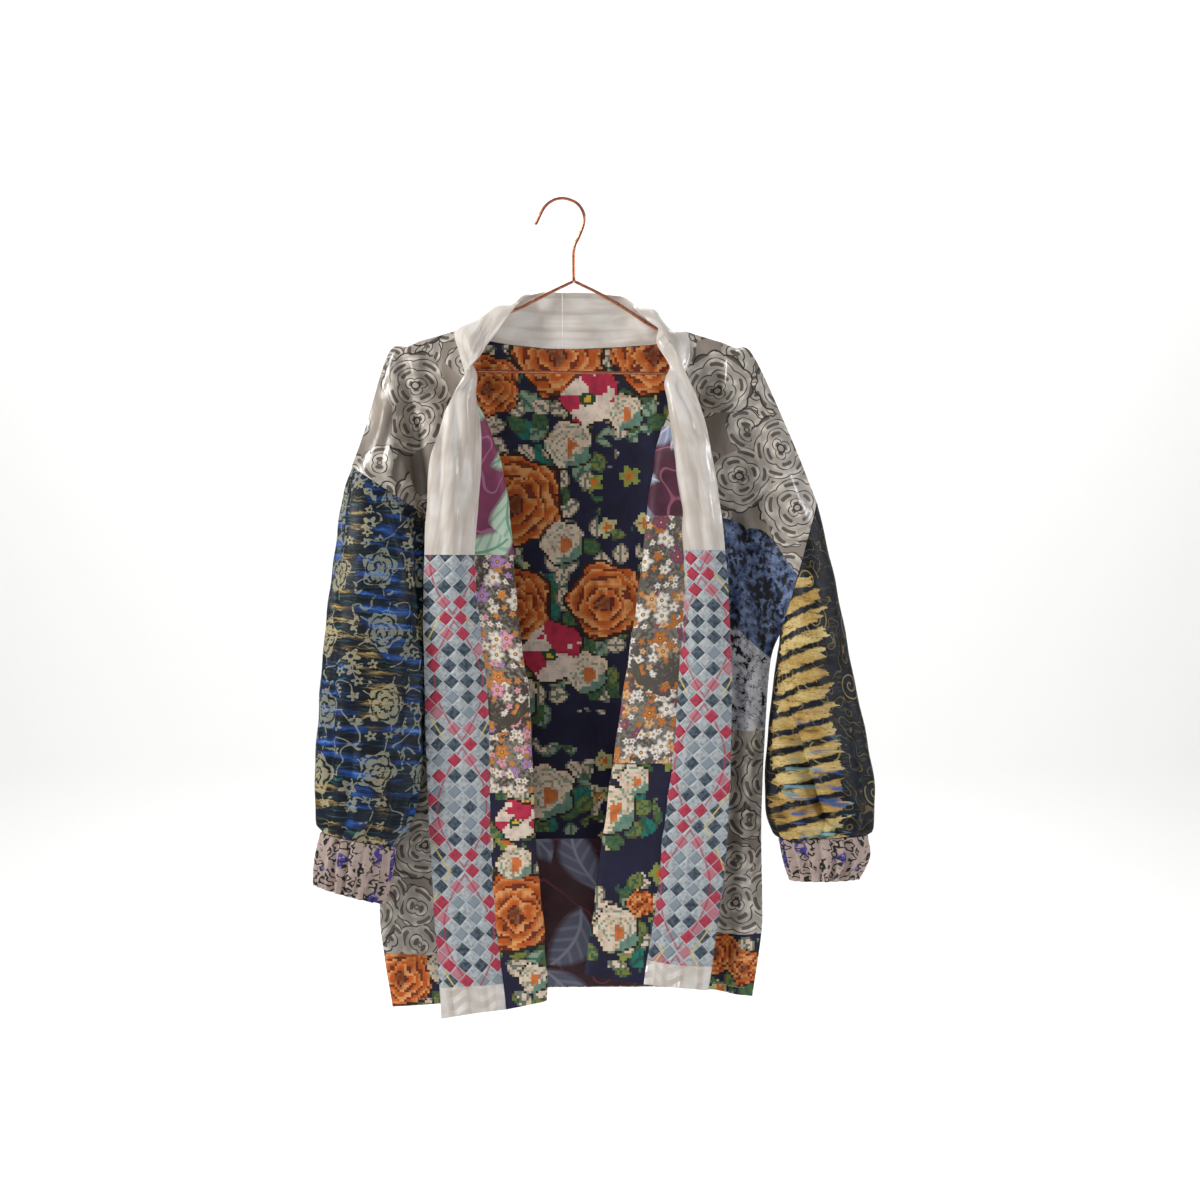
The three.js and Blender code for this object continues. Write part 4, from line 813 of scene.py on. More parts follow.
class Cloth:
    """One material and the nodes that paint it.

    x runs across a piece and y along it, both in metres along the cloth. "front" takes both
    as seen from the front instead, and "round" takes y as the height, for a sleeve.
    """

    def __init__(self, name, roughness=0.8, laid="cloth", **shader):
        self.material = bpy.data.materials.new(name)
        self.material.use_nodes = True
        self.tree = self.material.node_tree
        self.shader = self.tree.nodes["Principled BSDF"]
        self.shader.inputs["Roughness"].default_value = roughness
        for socket, value in shader.items():
            self.shader.inputs[socket.replace("_", " ")].default_value = value
        cloth = self.node("ShaderNodeSeparateXYZ", Vector=self.coordinates("UV"))
        seen = self.node("ShaderNodeSeparateXYZ", Vector=self.coordinates("Object"))
        self.x = seen["X"] if laid == "front" else cloth["X"]
        self.y = cloth["Y"] if laid == "cloth" else seen["Z"]

    def coordinates(self, name):
        return self.node("ShaderNodeTexCoord")[name]

    def node(self, kind, settings=(), **inputs):
        """Any node: its settings, its inputs by name, and its outputs back by name."""
        node = self.tree.nodes.new(kind)
        for setting, value in dict(settings).items():
            setattr(node, setting, value)
        for name, value in inputs.items():
            join(self.tree, value, node.inputs[name.replace("_", " ")])
        return {output.name: Value(self.tree, output) for output in node.outputs if output.enabled}

    def at(self, x, y, z=0.0):
        return self.node("ShaderNodeCombineXYZ", X=x, Y=y, Z=z)["Vector"]

    def noise(self, x, y, size, detail=2.0, seed=0.0):
        """Soft noise around 0.5 with marks about size metres long."""
        vector = self.at(x / size, y / size, seed)
        return self.node("ShaderNodeTexNoise", Vector=vector, Scale=1.0, Detail=detail)["Fac"]

    def random(self, x, y, seed=0.0):
        colour = self.node("ShaderNodeTexWhiteNoise", Vector=self.at(x, y, seed))["Color"]
        parts = self.node("ShaderNodeSeparateColor", Color=colour)
        return parts["Red"], parts["Green"], parts["Blue"]

    def motifs(self, x, y, size, seed=0.0, spread=0.8):
        """Scattered places: offsets from the nearest in its size, and three random shares."""
        px, py = x / size + seed, y / size + seed * 0.7
        cell = self.node("ShaderNodeTexVoronoi", {"voronoi_dimensions": "2D"},
                         Vector=self.at(px, py), Scale=1.0, Randomness=spread)
        place = self.node("ShaderNodeSeparateXYZ", Vector=cell["Position"])
        parts = self.node("ShaderNodeSeparateColor", Color=cell["Color"])
        return px - place["X"], py - place["Y"], (parts["Red"], parts["Green"], parts["Blue"])

    def mix(self, share, first, second):
        """Between two colours; each is a display colour or what an earlier mix gave."""
        node = self.tree.nodes.new("ShaderNodeMix")
        node.data_type = "RGBA"
        join(self.tree, share, node.inputs[0])
        for colour, slot in ((first, node.inputs[6]), (second, node.inputs[7])):
            join(self.tree, colour if isinstance(colour, Value) else linear(colour), slot)
        return Value(self.tree, node.outputs[2])

    def paint(self, colour):
        self.tree.links.new(colour.socket, self.shader.inputs["Base Color"])
        return colour

    def bump(self, height, depth, strength=1.0):
        """Relief of a height from 0 to 1, depth metres high at 1."""
        node = self.tree.nodes.new("ShaderNodeBump")
        node.inputs["Distance"].default_value = depth
        node.inputs["Strength"].default_value = strength
        join(self.tree, height, node.inputs["Height"])
        self.tree.links.new(node.outputs[0], self.shader.inputs["Normal"])

    def rough(self, value):
        join(self.tree, value, self.shader.inputs["Roughness"])

    def done(self, colour, height, depth, strength):
        """The material with its colour and relief."""
        self.paint(colour)
        self.bump(height, depth, strength)
        return self.material


def radius_of(dx, dy):
    return (dx * dx + dy * dy).sqrt()


def angle_of(dx, dy):
    return dy.math("ARCTAN2", dx)


def turned(dx, dy, turn):
    """The offsets turned by a share of a full turn."""
    sine, cosine = (turn * math.tau).sin(), (turn * math.tau).cos()
    return dx * cosine + dy * sine, dy * cosine - dx * sine


def stroke(value, low, high):
    """1 along the line where a value is 0, and 0 from high away."""
    return 1 - value.size().soft(low, high)


def petals(dx, dy, rings, turn, least=3):
    """Rings of petals round a middle.

    Gives the height over the nearest petal's edge, the place across that petal, the radius,
    the height in the ring and the ring's number.
    """
    radius = radius_of(dx, dy)
    ring = (radius * rings).floor()
    share = (angle_of(dx, dy) / math.tau + turn + ring * 0.37) * (ring + least)
    across = (share.part() * 2 - 1).size()
    height = (radius * rings).part()
    return 1 - across * across * 0.45 - height, across, radius, height, ring


def weave(cloth, step=0.0011):
    """Height of a plain weave."""
    return ((cloth.x * (math.tau / step)).sin() * (cloth.y * (math.tau / step)).sin()) * 0.5 + 0.5


def soft_wrinkles(cloth, length=0.03):
    return cloth.noise(cloth.x, cloth.y * 0.5, length, 3.0, 4.0)


# Repeats and sizes of the prints' motifs, in metres along the cloth.
FLORET = 0.043
MEDALLION = 0.074
SCROLL = 0.06
STREAK_PITCH = 0.0165
BAR_PITCH = 0.0205
BAR_SLOPE = 0.28               # how steeply the gold bars rise, as a share of their run
FIELD_PITCH = 0.13             # from one field of bars to the next, round the sleeve
FIELD_TOP = -0.415             # height where the fields of bars begin

# Big needlepoint flowers, as seen from the front: middle, radius and kind
# (0 orange rose, 1 cream rose, 2 crimson and cream).
FLOWERS_BACK = table("x z radius kind",
    (-6, -163, 50, 0), (99, -166, 46, 0), (-84, -203, 34, 0), (27, -214, 32, 2),
    (4, -268, 26, 1), (-54, -330, 50, 0), (-3, -376, 24, 1), (66, -232, 20, 1),
    (-62, -448, 46, 0), (46, -440, 42, 0), (-14, -497, 34, 2), (-58, -548, 27, 1),
    (24, -520, 23, 1), (-20, -652, 30, 1))
FLOWERS_LEFT = table("x z radius kind",
    (-53, -680, 22, 2), (-54, -728, 20, 1), (-50, -778, 44, 0), (-34, -852, 16, 1),
    (-178, -852, 34, 0), (-134, -842, 18, 1))
FLOWERS_RIGHT = table("x z radius kind",
    (52, -668, 26, 1), (76, -636, 17, 1), (56, -798, 25, 1), (82, -770, 15, 0),
    (166, -826, 24, 0), (198, -842, 19, 0))


def needlepoint(name, flowers, stitch):
    """Roses, leaves and florets in square stitches on a navy ground."""
    cloth = Cloth(name, 0.86, laid="front")
    x = ((cloth.x / stitch).floor() + 0.5) * stitch
    y = ((cloth.y / stitch).floor() + 0.5) * stitch
    dx, dy, kind, closest = x, y, x * 0.0, x * 0.0 + 9.0
    for flower in flowers:
        size = flower["radius"] * MM
        away_x, away_y = (x - flower["x"] * MM) / size, (y - flower["z"] * MM) / size
        away = radius_of(away_x, away_y)
        nearer = away.below(closest)
        closest = closest.least(away)
        dx, dy = dx + (away_x - dx) * nearer, dy + (away_y - dy) * nearer
        kind = kind + (nearer * (flower["kind"] - kind))
    shadow = cloth.noise(x, y, 0.03, 2.0, 3.0)
    colour = cloth.mix(shadow.soft(0.4, 0.6), "#141433", "#1B1A3C")

    floret_x, floret_y, chance = cloth.motifs(x, y, FLORET, 2.6)
    floret = radius_of(floret_x, floret_y) + (angle_of(floret_x, floret_y) * 5).cos() * 0.05
    green = cloth.mix(chance[0].above(0.5), "#8F9A48", "#C9C58C")
    colour = cloth.mix(floret.below(0.24) * chance[1].above(0.45), colour, green)
    colour = cloth.mix(floret.below(0.1) * chance[1].above(0.45), colour, "#D9701E")

    leafy = (closest - (shadow - 0.5) * 2.4).below(1.85)
    for size, seed, tones in ((0.034, 0.0, ("#EBD5BF", "#8FA48A", "#1F7A6B")),
                              (0.027, 5.3, ("#7C8440", "#E4CDB4", "#4E6B3A"))):
        leaf_x, leaf_y, chance = cloth.motifs(x, y, size, seed)
        leaf_x, leaf_y = turned(leaf_x, leaf_y, chance[0])
        inside = leaf_y.size() + leaf_x * leaf_x * 1.5
        shown = inside.below(0.34) * leafy
        tone = cloth.mix(chance[1].above(0.36), tones[0], tones[1])
        tone = cloth.mix(chance[1].above(0.74), tone, tones[2])
        vein = leaf_y.size().below(0.05) + (leaf_x * 16 + leaf_y.size() * 14).sin().above(0.86)
        tone = cloth.mix(vein.least(1.0) * 0.8, tone, "#1F5A50")
        tone = cloth.mix(inside.above(0.28) * 0.7, tone, "#3B4A2C")
        colour = cloth.mix(shown, colour, tone)

    wobble = cloth.noise(x, y, 0.014, 1.0, 7.0) - 0.5
    edge, across, radius, height, ring = petals(
        dx + wobble * 0.36 + 0.06, dy + wobble * 0.3 + 0.1, 4.2, kind * 0.3)
    deep = cloth.mix(edge.soft(-0.1, 0.75), "#E8964A", "#C85A18")
    deep = cloth.mix((height * 2 + across + wobble * 5).soft(1.2, 2.2) * 0.7, deep, "#F0B070")
    deep = cloth.mix(edge.below(0.1) * across.above(0.2), deep, "#7A2E12")
    deep = cloth.mix(ring.below(0.5) * 0.75, deep, "#5B1D10")
    pale = cloth.mix(edge.soft(-0.3, 0.5), "#E3B48C", "#EBD8C3")
    pale = cloth.mix(edge.size().below(0.13), pale, "#8FA48A")
    pale = cloth.mix((radius + wobble * 0.5).below(0.4) * (dx + 0.1).above(0.0), pale, "#D9773A")
    pale = cloth.mix((dx * 0.8 - dy + wobble).above(0.75), pale, "#6F9482")
    poppy = cloth.mix((angle_of(dx, dy) * 1.5 + wobble * 4).sin().above(0.1), "#F0DCCB", "#C22C4C")
    poppy = cloth.mix(radius.below(0.24), poppy, "#26482E")
    poppy = cloth.mix(radius.below(0.12), poppy, "#E3B63C")
    rose = cloth.mix(kind.above(0.5), deep, pale)
    rose = cloth.mix(kind.above(1.5), rose, poppy)
    outline = closest + (angle_of(dx, dy) * 5).cos() * 0.07 + wobble * 0.24
    colour = cloth.mix(outline.below(1.06), colour, "#31180F")
    colour = cloth.mix(outline.below(0.98), colour, rose)
    fade = cloth.noise(x, y, 0.009, 2.0, 9.0)
    colour = cloth.mix(fade.soft(0.42, 0.72) * 0.34, colour, "#1A1410")
    rib = (cloth.x * (math.tau / stitch)).sin().size()
    return cloth.done(colour, rib * 0.12 + soft_wrinkles(cloth), 0.0018, 0.6)


def rose_satin(name, ground, silver, outline, size, plain=0.16):
    """Grey satin with large line-drawn silver roses, and loose round petals between them."""
    cloth = Cloth(name, 0.34, laid="front", Specular_IOR_Level=0.6)
    bend = cloth.noise(cloth.x, cloth.y, 0.045, 0.0) - 0.5
    x, y = cloth.x + bend * 0.012, cloth.y - bend * 0.01
    sheen = cloth.noise(x, y * 0.4, 0.05, 2.0, 5.0)
    colour = cloth.mix(sheen.soft(0.35, 0.7), ground, [share * 0.78 for share in ground])
    patchy = cloth.noise(x, y, 0.014, 1.0, 3.0)
    lustre = cloth.mix(patchy.soft(0.4, 0.62), [share * 0.8 for share in silver], silver)
    speck = (cloth.noise(x, y, 0.003, 2.0, 8.0) - 0.5) * 0.3
    covered = 0.0
    for scale, seed, rings, least, whole in ((0.6, 5.3, 3.4, 2, 0.52), (1.0, 1.7, 6.0, 3, 0.56)):
        dx, dy, chance = cloth.motifs(x, y, size * scale, seed, 0.6)
        edge, across, radius, height, _ = petals(dx, dy, rings, chance[0], least)
        reach = radius + (angle_of(dx, dy) * (least + 3) + chance[1] * 6).cos().size() * -0.05
        shown = (chance[2].above(plain)
                 * (radius_of(x + 0.145, y + 0.3) + sheen * 0.05).above(0.055))
        inside = reach.below(whole) * shown
        petal = cloth.mix(height.soft(0.1, 0.8), cloth.mix(0.55, lustre, ground), lustre)
        long_mark = (height.soft(0.2, 0.36) * (1 - height.soft(0.5, 0.74))
                     * (1 - across.soft(0.34, 0.62)))
        petal = cloth.mix((long_mark + speck * long_mark).soft(0.3, 0.62) * 0.88, petal, "#4A413C")
        petal = cloth.mix(stroke(edge, 0.035, 0.085), petal, outline)
        petal = cloth.mix(stroke(radius - 0.06, 0.008, 0.018), petal, outline)
        colour = cloth.mix(inside, colour, petal)
        colour = cloth.mix(stroke(reach - whole, 0.008, 0.02) * shown, colour, outline)
        covered = inside.most(covered)
    cloth.rough(covered * -0.08 + 0.38)
    return cloth.done(colour, soft_wrinkles(cloth, 0.026), 0.0034, 0.9)


def small_flowers(name, ground, second, petals_in):
    """Crowded small flowers in three sizes."""
    cloth = Cloth(name, 0.7)
    x, y = cloth.x, cloth.y
    speckle = cloth.noise(x, y, 0.004, 3.0)
    broad = cloth.noise(x, y, 0.05, 1.0, 6.0)
    colour = cloth.mix((speckle + (broad - 0.5) * 0.8).soft(0.44, 0.62), ground, second)
    colour = cloth.mix(cloth.noise(x, y, 0.006, 2.0, 3.0).above(0.62) * 0.7, colour, "#56602F")
    for size, seed, share in ((0.009, 3.1, 0.42), (0.014, 0.4, 0.36), (0.021, 7.7, 0.46)):
        dx, dy, chance = cloth.motifs(x, y, size, seed)
        radius = radius_of(dx, dy)
        petal = (angle_of(dx, dy) * 5 + chance[0] * 9).cos() * 0.09
        shown = ((radius - petal).below(0.38) * chance[1].above(share)
                 * (broad + chance[2] * 0.2).above(0.42))
        tone = cloth.mix(chance[0].above(0.45), petals_in[0], petals_in[1])
        tone = cloth.mix(chance[0].above(0.7), tone, petals_in[2])
        tone = cloth.mix(chance[0].above(0.86), tone, petals_in[3])
        tone = cloth.mix((radius - petal).soft(0.2, 0.38) * 0.5, tone, "#5A3A2E")
        tone = cloth.mix(radius.below(0.1), tone, "#7A3418")
        tone = cloth.mix(radius.below(0.055), tone, "#E8C35A")
        colour = cloth.mix(shown, colour, tone)
    return cloth.done(colour, weave(cloth) * 0.2 + soft_wrinkles(cloth), 0.0006, 0.5)


def leaf_print(name, ground, second, leaf, vein, stem, size):
    """Large drawn leaves and curling stems on a deep ground."""
    cloth = Cloth(name, 0.62)
    x, y = cloth.x, cloth.y
    cloudy = cloth.noise(x, y, 0.02, 3.0)
    colour = cloth.mix(cloudy.soft(0.35, 0.68), ground, second)
    curl = cloth.noise(x, y, 0.05, 1.0, 5.0)
    branch = stroke(curl - 0.5, 0.006, 0.016)
    colour = cloth.mix(branch, colour, stem)
    dx, dy, chance = cloth.motifs(x, y, size, 3.3, 0.85)
    dx, dy = turned(dx, dy, chance[0])
    bent = dy + dx * dx * 0.5 - 0.06
    body = bent.size() + dx * dx * 1.1
    shown = body.below(0.27) * chance[1].above(0.22)
    ribs = (dx * 34 + bent.size() * 30).sin()
    tone = cloth.mix(ribs.soft(0.2, 0.9) * 0.55, leaf, vein)
    tone = cloth.mix(bent.size().below(0.02), tone, vein)
    tone = cloth.mix(body.soft(0.19, 0.26) * 0.75, tone, second)
    colour = cloth.mix(shown, colour, tone)
    return cloth.done(colour, weave(cloth) * 0.2 + soft_wrinkles(cloth), 0.0006, 0.5)


def diamond_print(name, diamond, middle, phase):
    """Pale and slate diamonds with red, wavy chains of them and thin yellow lines, quilted."""
    cloth = Cloth(name, 0.5, Sheen_Weight=0.1)
    x, y = cloth.x - middle, cloth.y + phase
    along, over = (x + y) / diamond, (y - x) / diamond
    cell_a, cell_b = along.floor(), over.floor()
    place_x = (cell_a - cell_b) * (diamond / 2)
    place_y = (cell_a + cell_b + 1) * (diamond / 2)
    chance = cloth.random(cell_a, cell_b, 2.0)
    period, swing = diamond * 8.0, diamond * 1.7
    chain = (place_x.size() - (place_y * (math.pi / period)).cos().size() * swing
             - diamond * 0.25)
    even = ((cell_a + cell_b * 1.0) * 0.5).part().above(0.25)
    marks = cloth.noise(x, y, 0.004, 2.0)
    pale = cloth.mix(marks.soft(0.4, 0.7), "#BCC2C6", "#949DA4")
    slate = cloth.mix(marks.soft(0.4, 0.62), "#4F6170", "#2B3641")
    colour = cloth.mix(even, pale, slate)
    colour = cloth.mix(chance[0].above(0.8) * even, colour, "#8C98A2")
    red = cloth.mix(marks.soft(0.4, 0.65), "#BE3450", "#A32A44")
    red = cloth.mix(chance[1].above(0.78), red, "#BE7C88")
    linked_up = (chain.size().below(diamond * 0.42) * (even + chance[2].above(0.75)).least(1.0)
                 * chance[1].above(0.22))
    colour = cloth.mix(linked_up, colour, red)
    smooth_chain = x.size() - (y * (math.pi / period)).cos().size() * swing
    thin = stroke(smooth_chain - diamond * 0.85, 0.0007, 0.0013)
    thin = thin * cloth.noise(x, y, 0.05, 1.0, 8.0).above(0.52) * 0.85
    colour = cloth.mix(thin, colour, "#E2CB66")
    red_line = stroke(smooth_chain + diamond * 0.15, 0.0008, 0.0014)
    colour = cloth.mix(red_line * 0.75, colour, "#B5304C")
    scratch = cloth.noise(x * 3.0 + y, y - x * 0.3, 0.006, 3.0, 4.0).above(0.66)
    colour = cloth.mix(scratch * 0.55, colour, "#5C6872")
    side_a, side_b = (along.part() - 0.5).size(), (over.part() - 0.5).size()
    seam = side_a.most(side_b)
    colour = cloth.mix(seam.soft(0.44, 0.5) * 0.6, colour, "#DDE1E2")
    padded = (1 - seam.soft(0.3, 0.5)) * 0.6
    return cloth.done(colour, padded + soft_wrinkles(cloth) * 1.2, 0.0028, 0.8)


def medallion_brocade(name, tint):
    """Navy-black cloth with blue, teal and gold streaks and grey-gold flower sprays."""
    cloth = Cloth(name, 0.5, laid="round", Specular_IOR_Level=0.3)
    x, y = cloth.x, cloth.y
    ragged = (cloth.noise(x, y, 0.006, 2.0, 1.0) - 0.5) * 0.006
    y_in = y + ragged + x * 0.1 + (cloth.noise(x, y, 0.09, 1.0, 2.0) - 0.5) * 0.012
    fine = cloth.noise(x / 0.026, y_in / 0.002, 1.0, 3.0, 6.0)
    broad = cloth.noise(x / 0.05, y_in / 0.008, 1.0, 2.0, 4.0)
    where = cloth.noise(x / 0.05, y / 0.11, 1.0, 1.0, 9.0)
    lit = (y_in * (math.tau / STREAK_PITCH)).sin() * 0.3 + (broad - 0.5) * 3.4 + (fine - 0.5) * 1.6
    colour = cloth.mix(cloth.noise(x, y, 0.02).soft(0.4, 0.6), "#05070D", "#0C1626")
    colour = cloth.mix((fine - broad * 0.2).soft(0.38, 0.6) * 0.7, colour, "#123C4A")
    colour = cloth.mix(lit.soft(-0.1, 0.8) * where.soft(0.45, 0.56), colour, tint)
    colour = cloth.mix(lit.soft(0.6, 1.3) * where.soft(0.48, 0.6), colour, "#6FA6E0")
    gold = lit.soft(0.05, 0.8) * (1 - where.soft(0.36, 0.5))
    colour = cloth.mix(gold * 0.9, colour, cloth.mix(fine.soft(0.4, 0.7), "#7A6234", "#D2B877"))
    colour = cloth.mix((fine - lit * 0.1).soft(0.6, 0.74) * 0.55, colour, "#2E7F7C")
    dx, dy, chance = cloth.motifs(x * 1.25, y, MEDALLION, 0.9, 0.35)
    edge, _, radius, *_ = petals(dx, dy, 8.5, chance[0], 4)
    bloom = (radius + (angle_of(dx, dy) * 5 + chance[1] * 6).cos() * 0.04).below(0.28)
    line = stroke(edge, 0.14, 0.26)
    stalk = stroke((angle_of(dx, dy) * 2.4).sin() * radius, 0.01, 0.03) * radius.below(0.42)
    worn = (fine + cloth.noise(x, y, 0.004, 1.0, 2.0)).above(0.86)
    motif = (bloom * (1 - line)).most(stalk) * worn
    sprays = 0.0
    for size, seed, least in ((0.024, 4.4, 0.5), (0.015, 8.1, 0.62)):
        near_x, near_y, more = cloth.motifs(x, y, size, seed, 0.85)
        near = radius_of(near_x, near_y)
        star = (angle_of(near_x, near_y) * 5 + more[1] * 5).cos() * 0.1
        spray = ((near - star).below(0.28) * near.above(0.1)
                 * radius.above(0.4) * more[0].above(least))
        sprays = spray + sprays
    stem_noise = cloth.noise(x, y, 0.03, 1.0, 12.0)
    stem = stroke(stem_noise - 0.5, 0.008, 0.018) * radius.above(0.4) * where.above(0.47)
    pale = cloth.mix(where.soft(0.35, 0.6), "#B3A987", "#8F9486")
    colour = cloth.mix((motif + sprays * worn + stem * worn).least(1.0) * 0.8, colour, pale)
    return cloth.done(colour, fine * 0.3 + soft_wrinkles(cloth, 0.026), 0.0026, 0.8)


def gold_dash_brocade(name, gold):
    """Navy cloth with rising gold bars, blue and teal glints and thin gold scrolls."""
    cloth = Cloth(name, 0.5, laid="round", Specular_IOR_Level=0.3)
    x, y = cloth.x, cloth.y
    ragged = cloth.noise(x, y, 0.006, 3.0, 1.0) - 0.5
    loose = cloth.noise(x / 0.03, y / 0.006, 1.0, 2.0, 14.0) - 0.5
    rise = y + x * BAR_SLOPE + ragged * 0.006 + loose * 0.006
    band = (rise / BAR_PITCH).part()
    place = (x / FIELD_PITCH + 0.6 + ragged * 0.06 + loose * 0.34).part()
    field = place.above(0.02) * place.below(0.6) * (y + loose * 0.05).below(FIELD_TOP)
    fine = cloth.noise(x / 0.004, y / 0.0016, 1.0, 2.0, 6.0)
    glow = cloth.noise(x, y, 0.05, 2.0, 3.0)
    bar = (field * band.soft(0.2, 0.3) * (1 - band.soft(0.84, 0.96))
           * (glow + loose * 0.5).soft(0.24, 0.4))
    colour = cloth.mix(cloth.noise(x, y, 0.016).soft(0.42, 0.6), "#05080F", "#0E1A2A")
    fleck = cloth.noise(x / 0.014, y / 0.003, 1.0, 3.0, 11.0).soft(0.54, 0.66)
    colour = cloth.mix(fleck * 0.5, colour, "#5A4C2A")
    lit = cloth.mix((fine * 0.5 + glow + loose * 0.4 - 0.25).soft(0.3, 0.75), gold, "#E6CF8E")
    lit = cloth.mix((fine + loose).soft(0.2, 0.42), "#7C6436", lit)
    colour = cloth.mix(bar, colour, lit)
    low = (1 - (y + glow * 0.1).soft(-0.6, -0.5)) * place.below(0.42)
    glint = low * cloth.noise(x / 0.05, y / 0.009, 1.0, 2.0, 17.0).soft(0.5, 0.6)
    colour = cloth.mix(glint * 0.85, colour,
                       cloth.mix(glow.soft(0.44, 0.56), "#2F58A0", "#8CC4CC"))
    dx, dy, chance = cloth.motifs(x, y, SCROLL, 3.1, 0.5)
    curl = (radius_of(dx, dy) * 7 + angle_of(dx, dy) / math.tau).part()
    near = radius_of(dx, dy).below(0.3) * chance[0].above(0.3)
    scroll = stroke(curl - 0.5, 0.06, 0.13) * near
    flow = cloth.noise(x, y, 0.03, 1.0, 5.0)
    scroll = scroll.most(stroke((flow * 8).part() - 0.5, 0.03, 0.07) * (1 - near) * 0.5)
    colour = cloth.mix(scroll * (1 - bar * 0.6) * glow.above(0.4) * 0.7, colour, "#A8935C")
    return cloth.done(colour, fine * 0.3 + soft_wrinkles(cloth, 0.026), 0.0026, 0.8)


def lace_print(name, ground, second, mark, size, share):
    """A lace-like web of dark marks on a lighter ground."""
    cloth = Cloth(name, 0.5, laid="front")
    x, y = cloth.x, cloth.y
    colour = cloth.mix(cloth.noise(x, y, 0.01, 3.0).soft(0.38, 0.62), ground, second)
    stir = cloth.noise(x, y, 0.004, 3.0, 2.0) - 0.5
    web = cloth.noise(x * 1.4 + stir * 0.008, y - stir * 0.008, size * 0.7, 5.0, 3.0)
    broad = cloth.noise(x * 1.7, y * 0.7, 0.036, 1.0, 5.0)
    level = web + (broad - 0.5) * 0.4
    dark = level.soft(share, share + 0.02)
    vein = stroke(web - 0.5, 0.008, 0.02) * cloth.noise(x, y, 0.012, 1.0, 9.0).above(0.47)
    mesh = ((x * 0.7 + y) / 0.0028).part().most(((x * 0.7 - y) / 0.0028).part()).above(0.68)
    dots = mesh * level.soft(share - 0.08, share - 0.04)
    colour = cloth.mix(dark.most(dots * 0.7).most(vein * 0.85), colour, mark)
    return cloth.done(colour, weave(cloth) * 0.1 + soft_wrinkles(cloth, 0.022), 0.0018, 0.7)


def cuff_print(name, ground):
    """Pale cloth with black curls and violet patches."""
    cloth = Cloth(name, 0.6)
    x, y = cloth.x, cloth.y
    colour = cloth.mix(cloth.noise(x, y, 0.01, 2.0).soft(0.4, 0.6), ground, "#B5A196")
    patch = cloth.noise(x, y, 0.03, 1.0, 2.0)
    patch = patch.soft(0.53, 0.58) * cloth.noise(x, y, 0.007, 2.0, 8.0).above(0.45)
    colour = cloth.mix(patch, colour, "#4A3F9A")
    curl = cloth.noise(x, y, 0.014, 2.0, 5.0)
    mark = stroke((curl * 6).part() - 0.5, 0.16, 0.24)
    mark = mark * cloth.noise(x, y, 0.02, 1.0, 4.0).soft(0.42, 0.47)
    colour = cloth.mix(mark, colour, "#171314")
    return cloth.done(colour, weave(cloth) * 0.2 + soft_wrinkles(cloth, 0.016), 0.0008, 0.6)


def white_satin(name, colour_in, quilted=False):
    """Heavy white satin with soft wrinkles and painted shade along its streaks; the end pieces are
    quilted.
    """
    cloth = Cloth(name, 0.3, Sheen_Weight=0.15, Specular_IOR_Level=0.7)
    x, y = cloth.x, cloth.y
    cloudy = cloth.noise(x, y, 0.03, 2.0)
    streak_and_painted_shade = cloth.noise(x, y * 0.1, 0.014, 2.0, 6.0)
    colour = cloth.mix(cloudy.soft(0.35, 0.7), colour_in, "#DDD3C8")
    # Painted shade: the streaks darken the satin to a warm grey-beige, and they also raise its
    # relief and roughness.
    cloth.paint(cloth.mix(streak_and_painted_shade.soft(0.42, 0.62) * 0.6, colour, "#C4B6A8"))
    relief = soft_wrinkles(cloth, 0.02) * 0.6 + streak_and_painted_shade
    if quilted:
        relief = relief + (((y + (x * 190).sin() * 0.004) / 0.014).part() - 0.5).size() * 1.6
    cloth.bump(relief, 0.004, 0.9)
    cloth.rough(streak_and_painted_shade * 0.12 + 0.24)
    return cloth.material


def copper_wire(name, colour_in):
    """Bare copper wire with slight drawing marks."""
    cloth = Cloth(name, 0.28, laid="front", Metallic=1.0)
    marks = cloth.noise(cloth.x * 0.2, cloth.y, 0.002, 2.0)
    cloth.paint(cloth.mix(marks.soft(0.4, 0.7), colour_in, "#A8644A"))
    cloth.rough(marks * 0.16 + 0.2)
    return cloth.material


def thread(name, colour_in):
    cloth = Cloth(name, 0.6)
    twist = (cloth.coordinates("Object").math("MULTIPLY", 3000.0)).sin()
    cloth.paint(cloth.mix(twist.soft(-1.0, 1.0) * 0.4, colour_in, "#8F8A84"))
    return cloth.material


def backdrop_paper(name, colour_in):
    cloth = Cloth(name, 0.95, laid="front")
    cloth.paint(cloth.mix(cloth.noise(cloth.x, cloth.y, 0.5, 2.0) * 0.3, colour_in, "#F4F4F2"))
    return cloth.material


# ------------------------------------------------------------------ sizes and colours to change
def length(name, description, default):
    return FloatProperty(name=name, description=description, default=default, unit="LENGTH")


def tint(name, description, default):
    return FloatVectorProperty(name=name, description=description, subtype="COLOR", size=3,
                               min=0, max=1, default=linear(default)[:3])


class KimonoSizes(bpy.types.PropertyGroup):
    wire: length("Wire", "Diameter of the hanger's wire", 0.0035)
    step: length("Mesh step", "Length of one face of the cloth", 0.005)
    fine_step: length("Fine step", "Length of one face of the sleeves and cuffs", 0.0035)
    ripple: length("Ripple", "Depth of the small ripples of the cloth", 0.0008)
    stitch: length("Needlepoint stitch", "Side of one square stitch of the needlepoint", 0.0026)
    rose: length("Rose", "Size of one rose of the grey satin", 0.066)
    diamond: length("Diamond", "Width of one diamond of the printed band", 0.0172)
    seam_stitch: length("Seam stitch", "Length of one sewing stitch", 0.0026)
    seam_pitch: length("Stitch pitch", "Distance from one sewing stitch to the next", 0.0042)
    thread: length("Thread", "Thickness of the sewing thread", 0.0005)
    floor_drop: length("Floor", "How far the floor lies below the hanger's hook", 1.36)


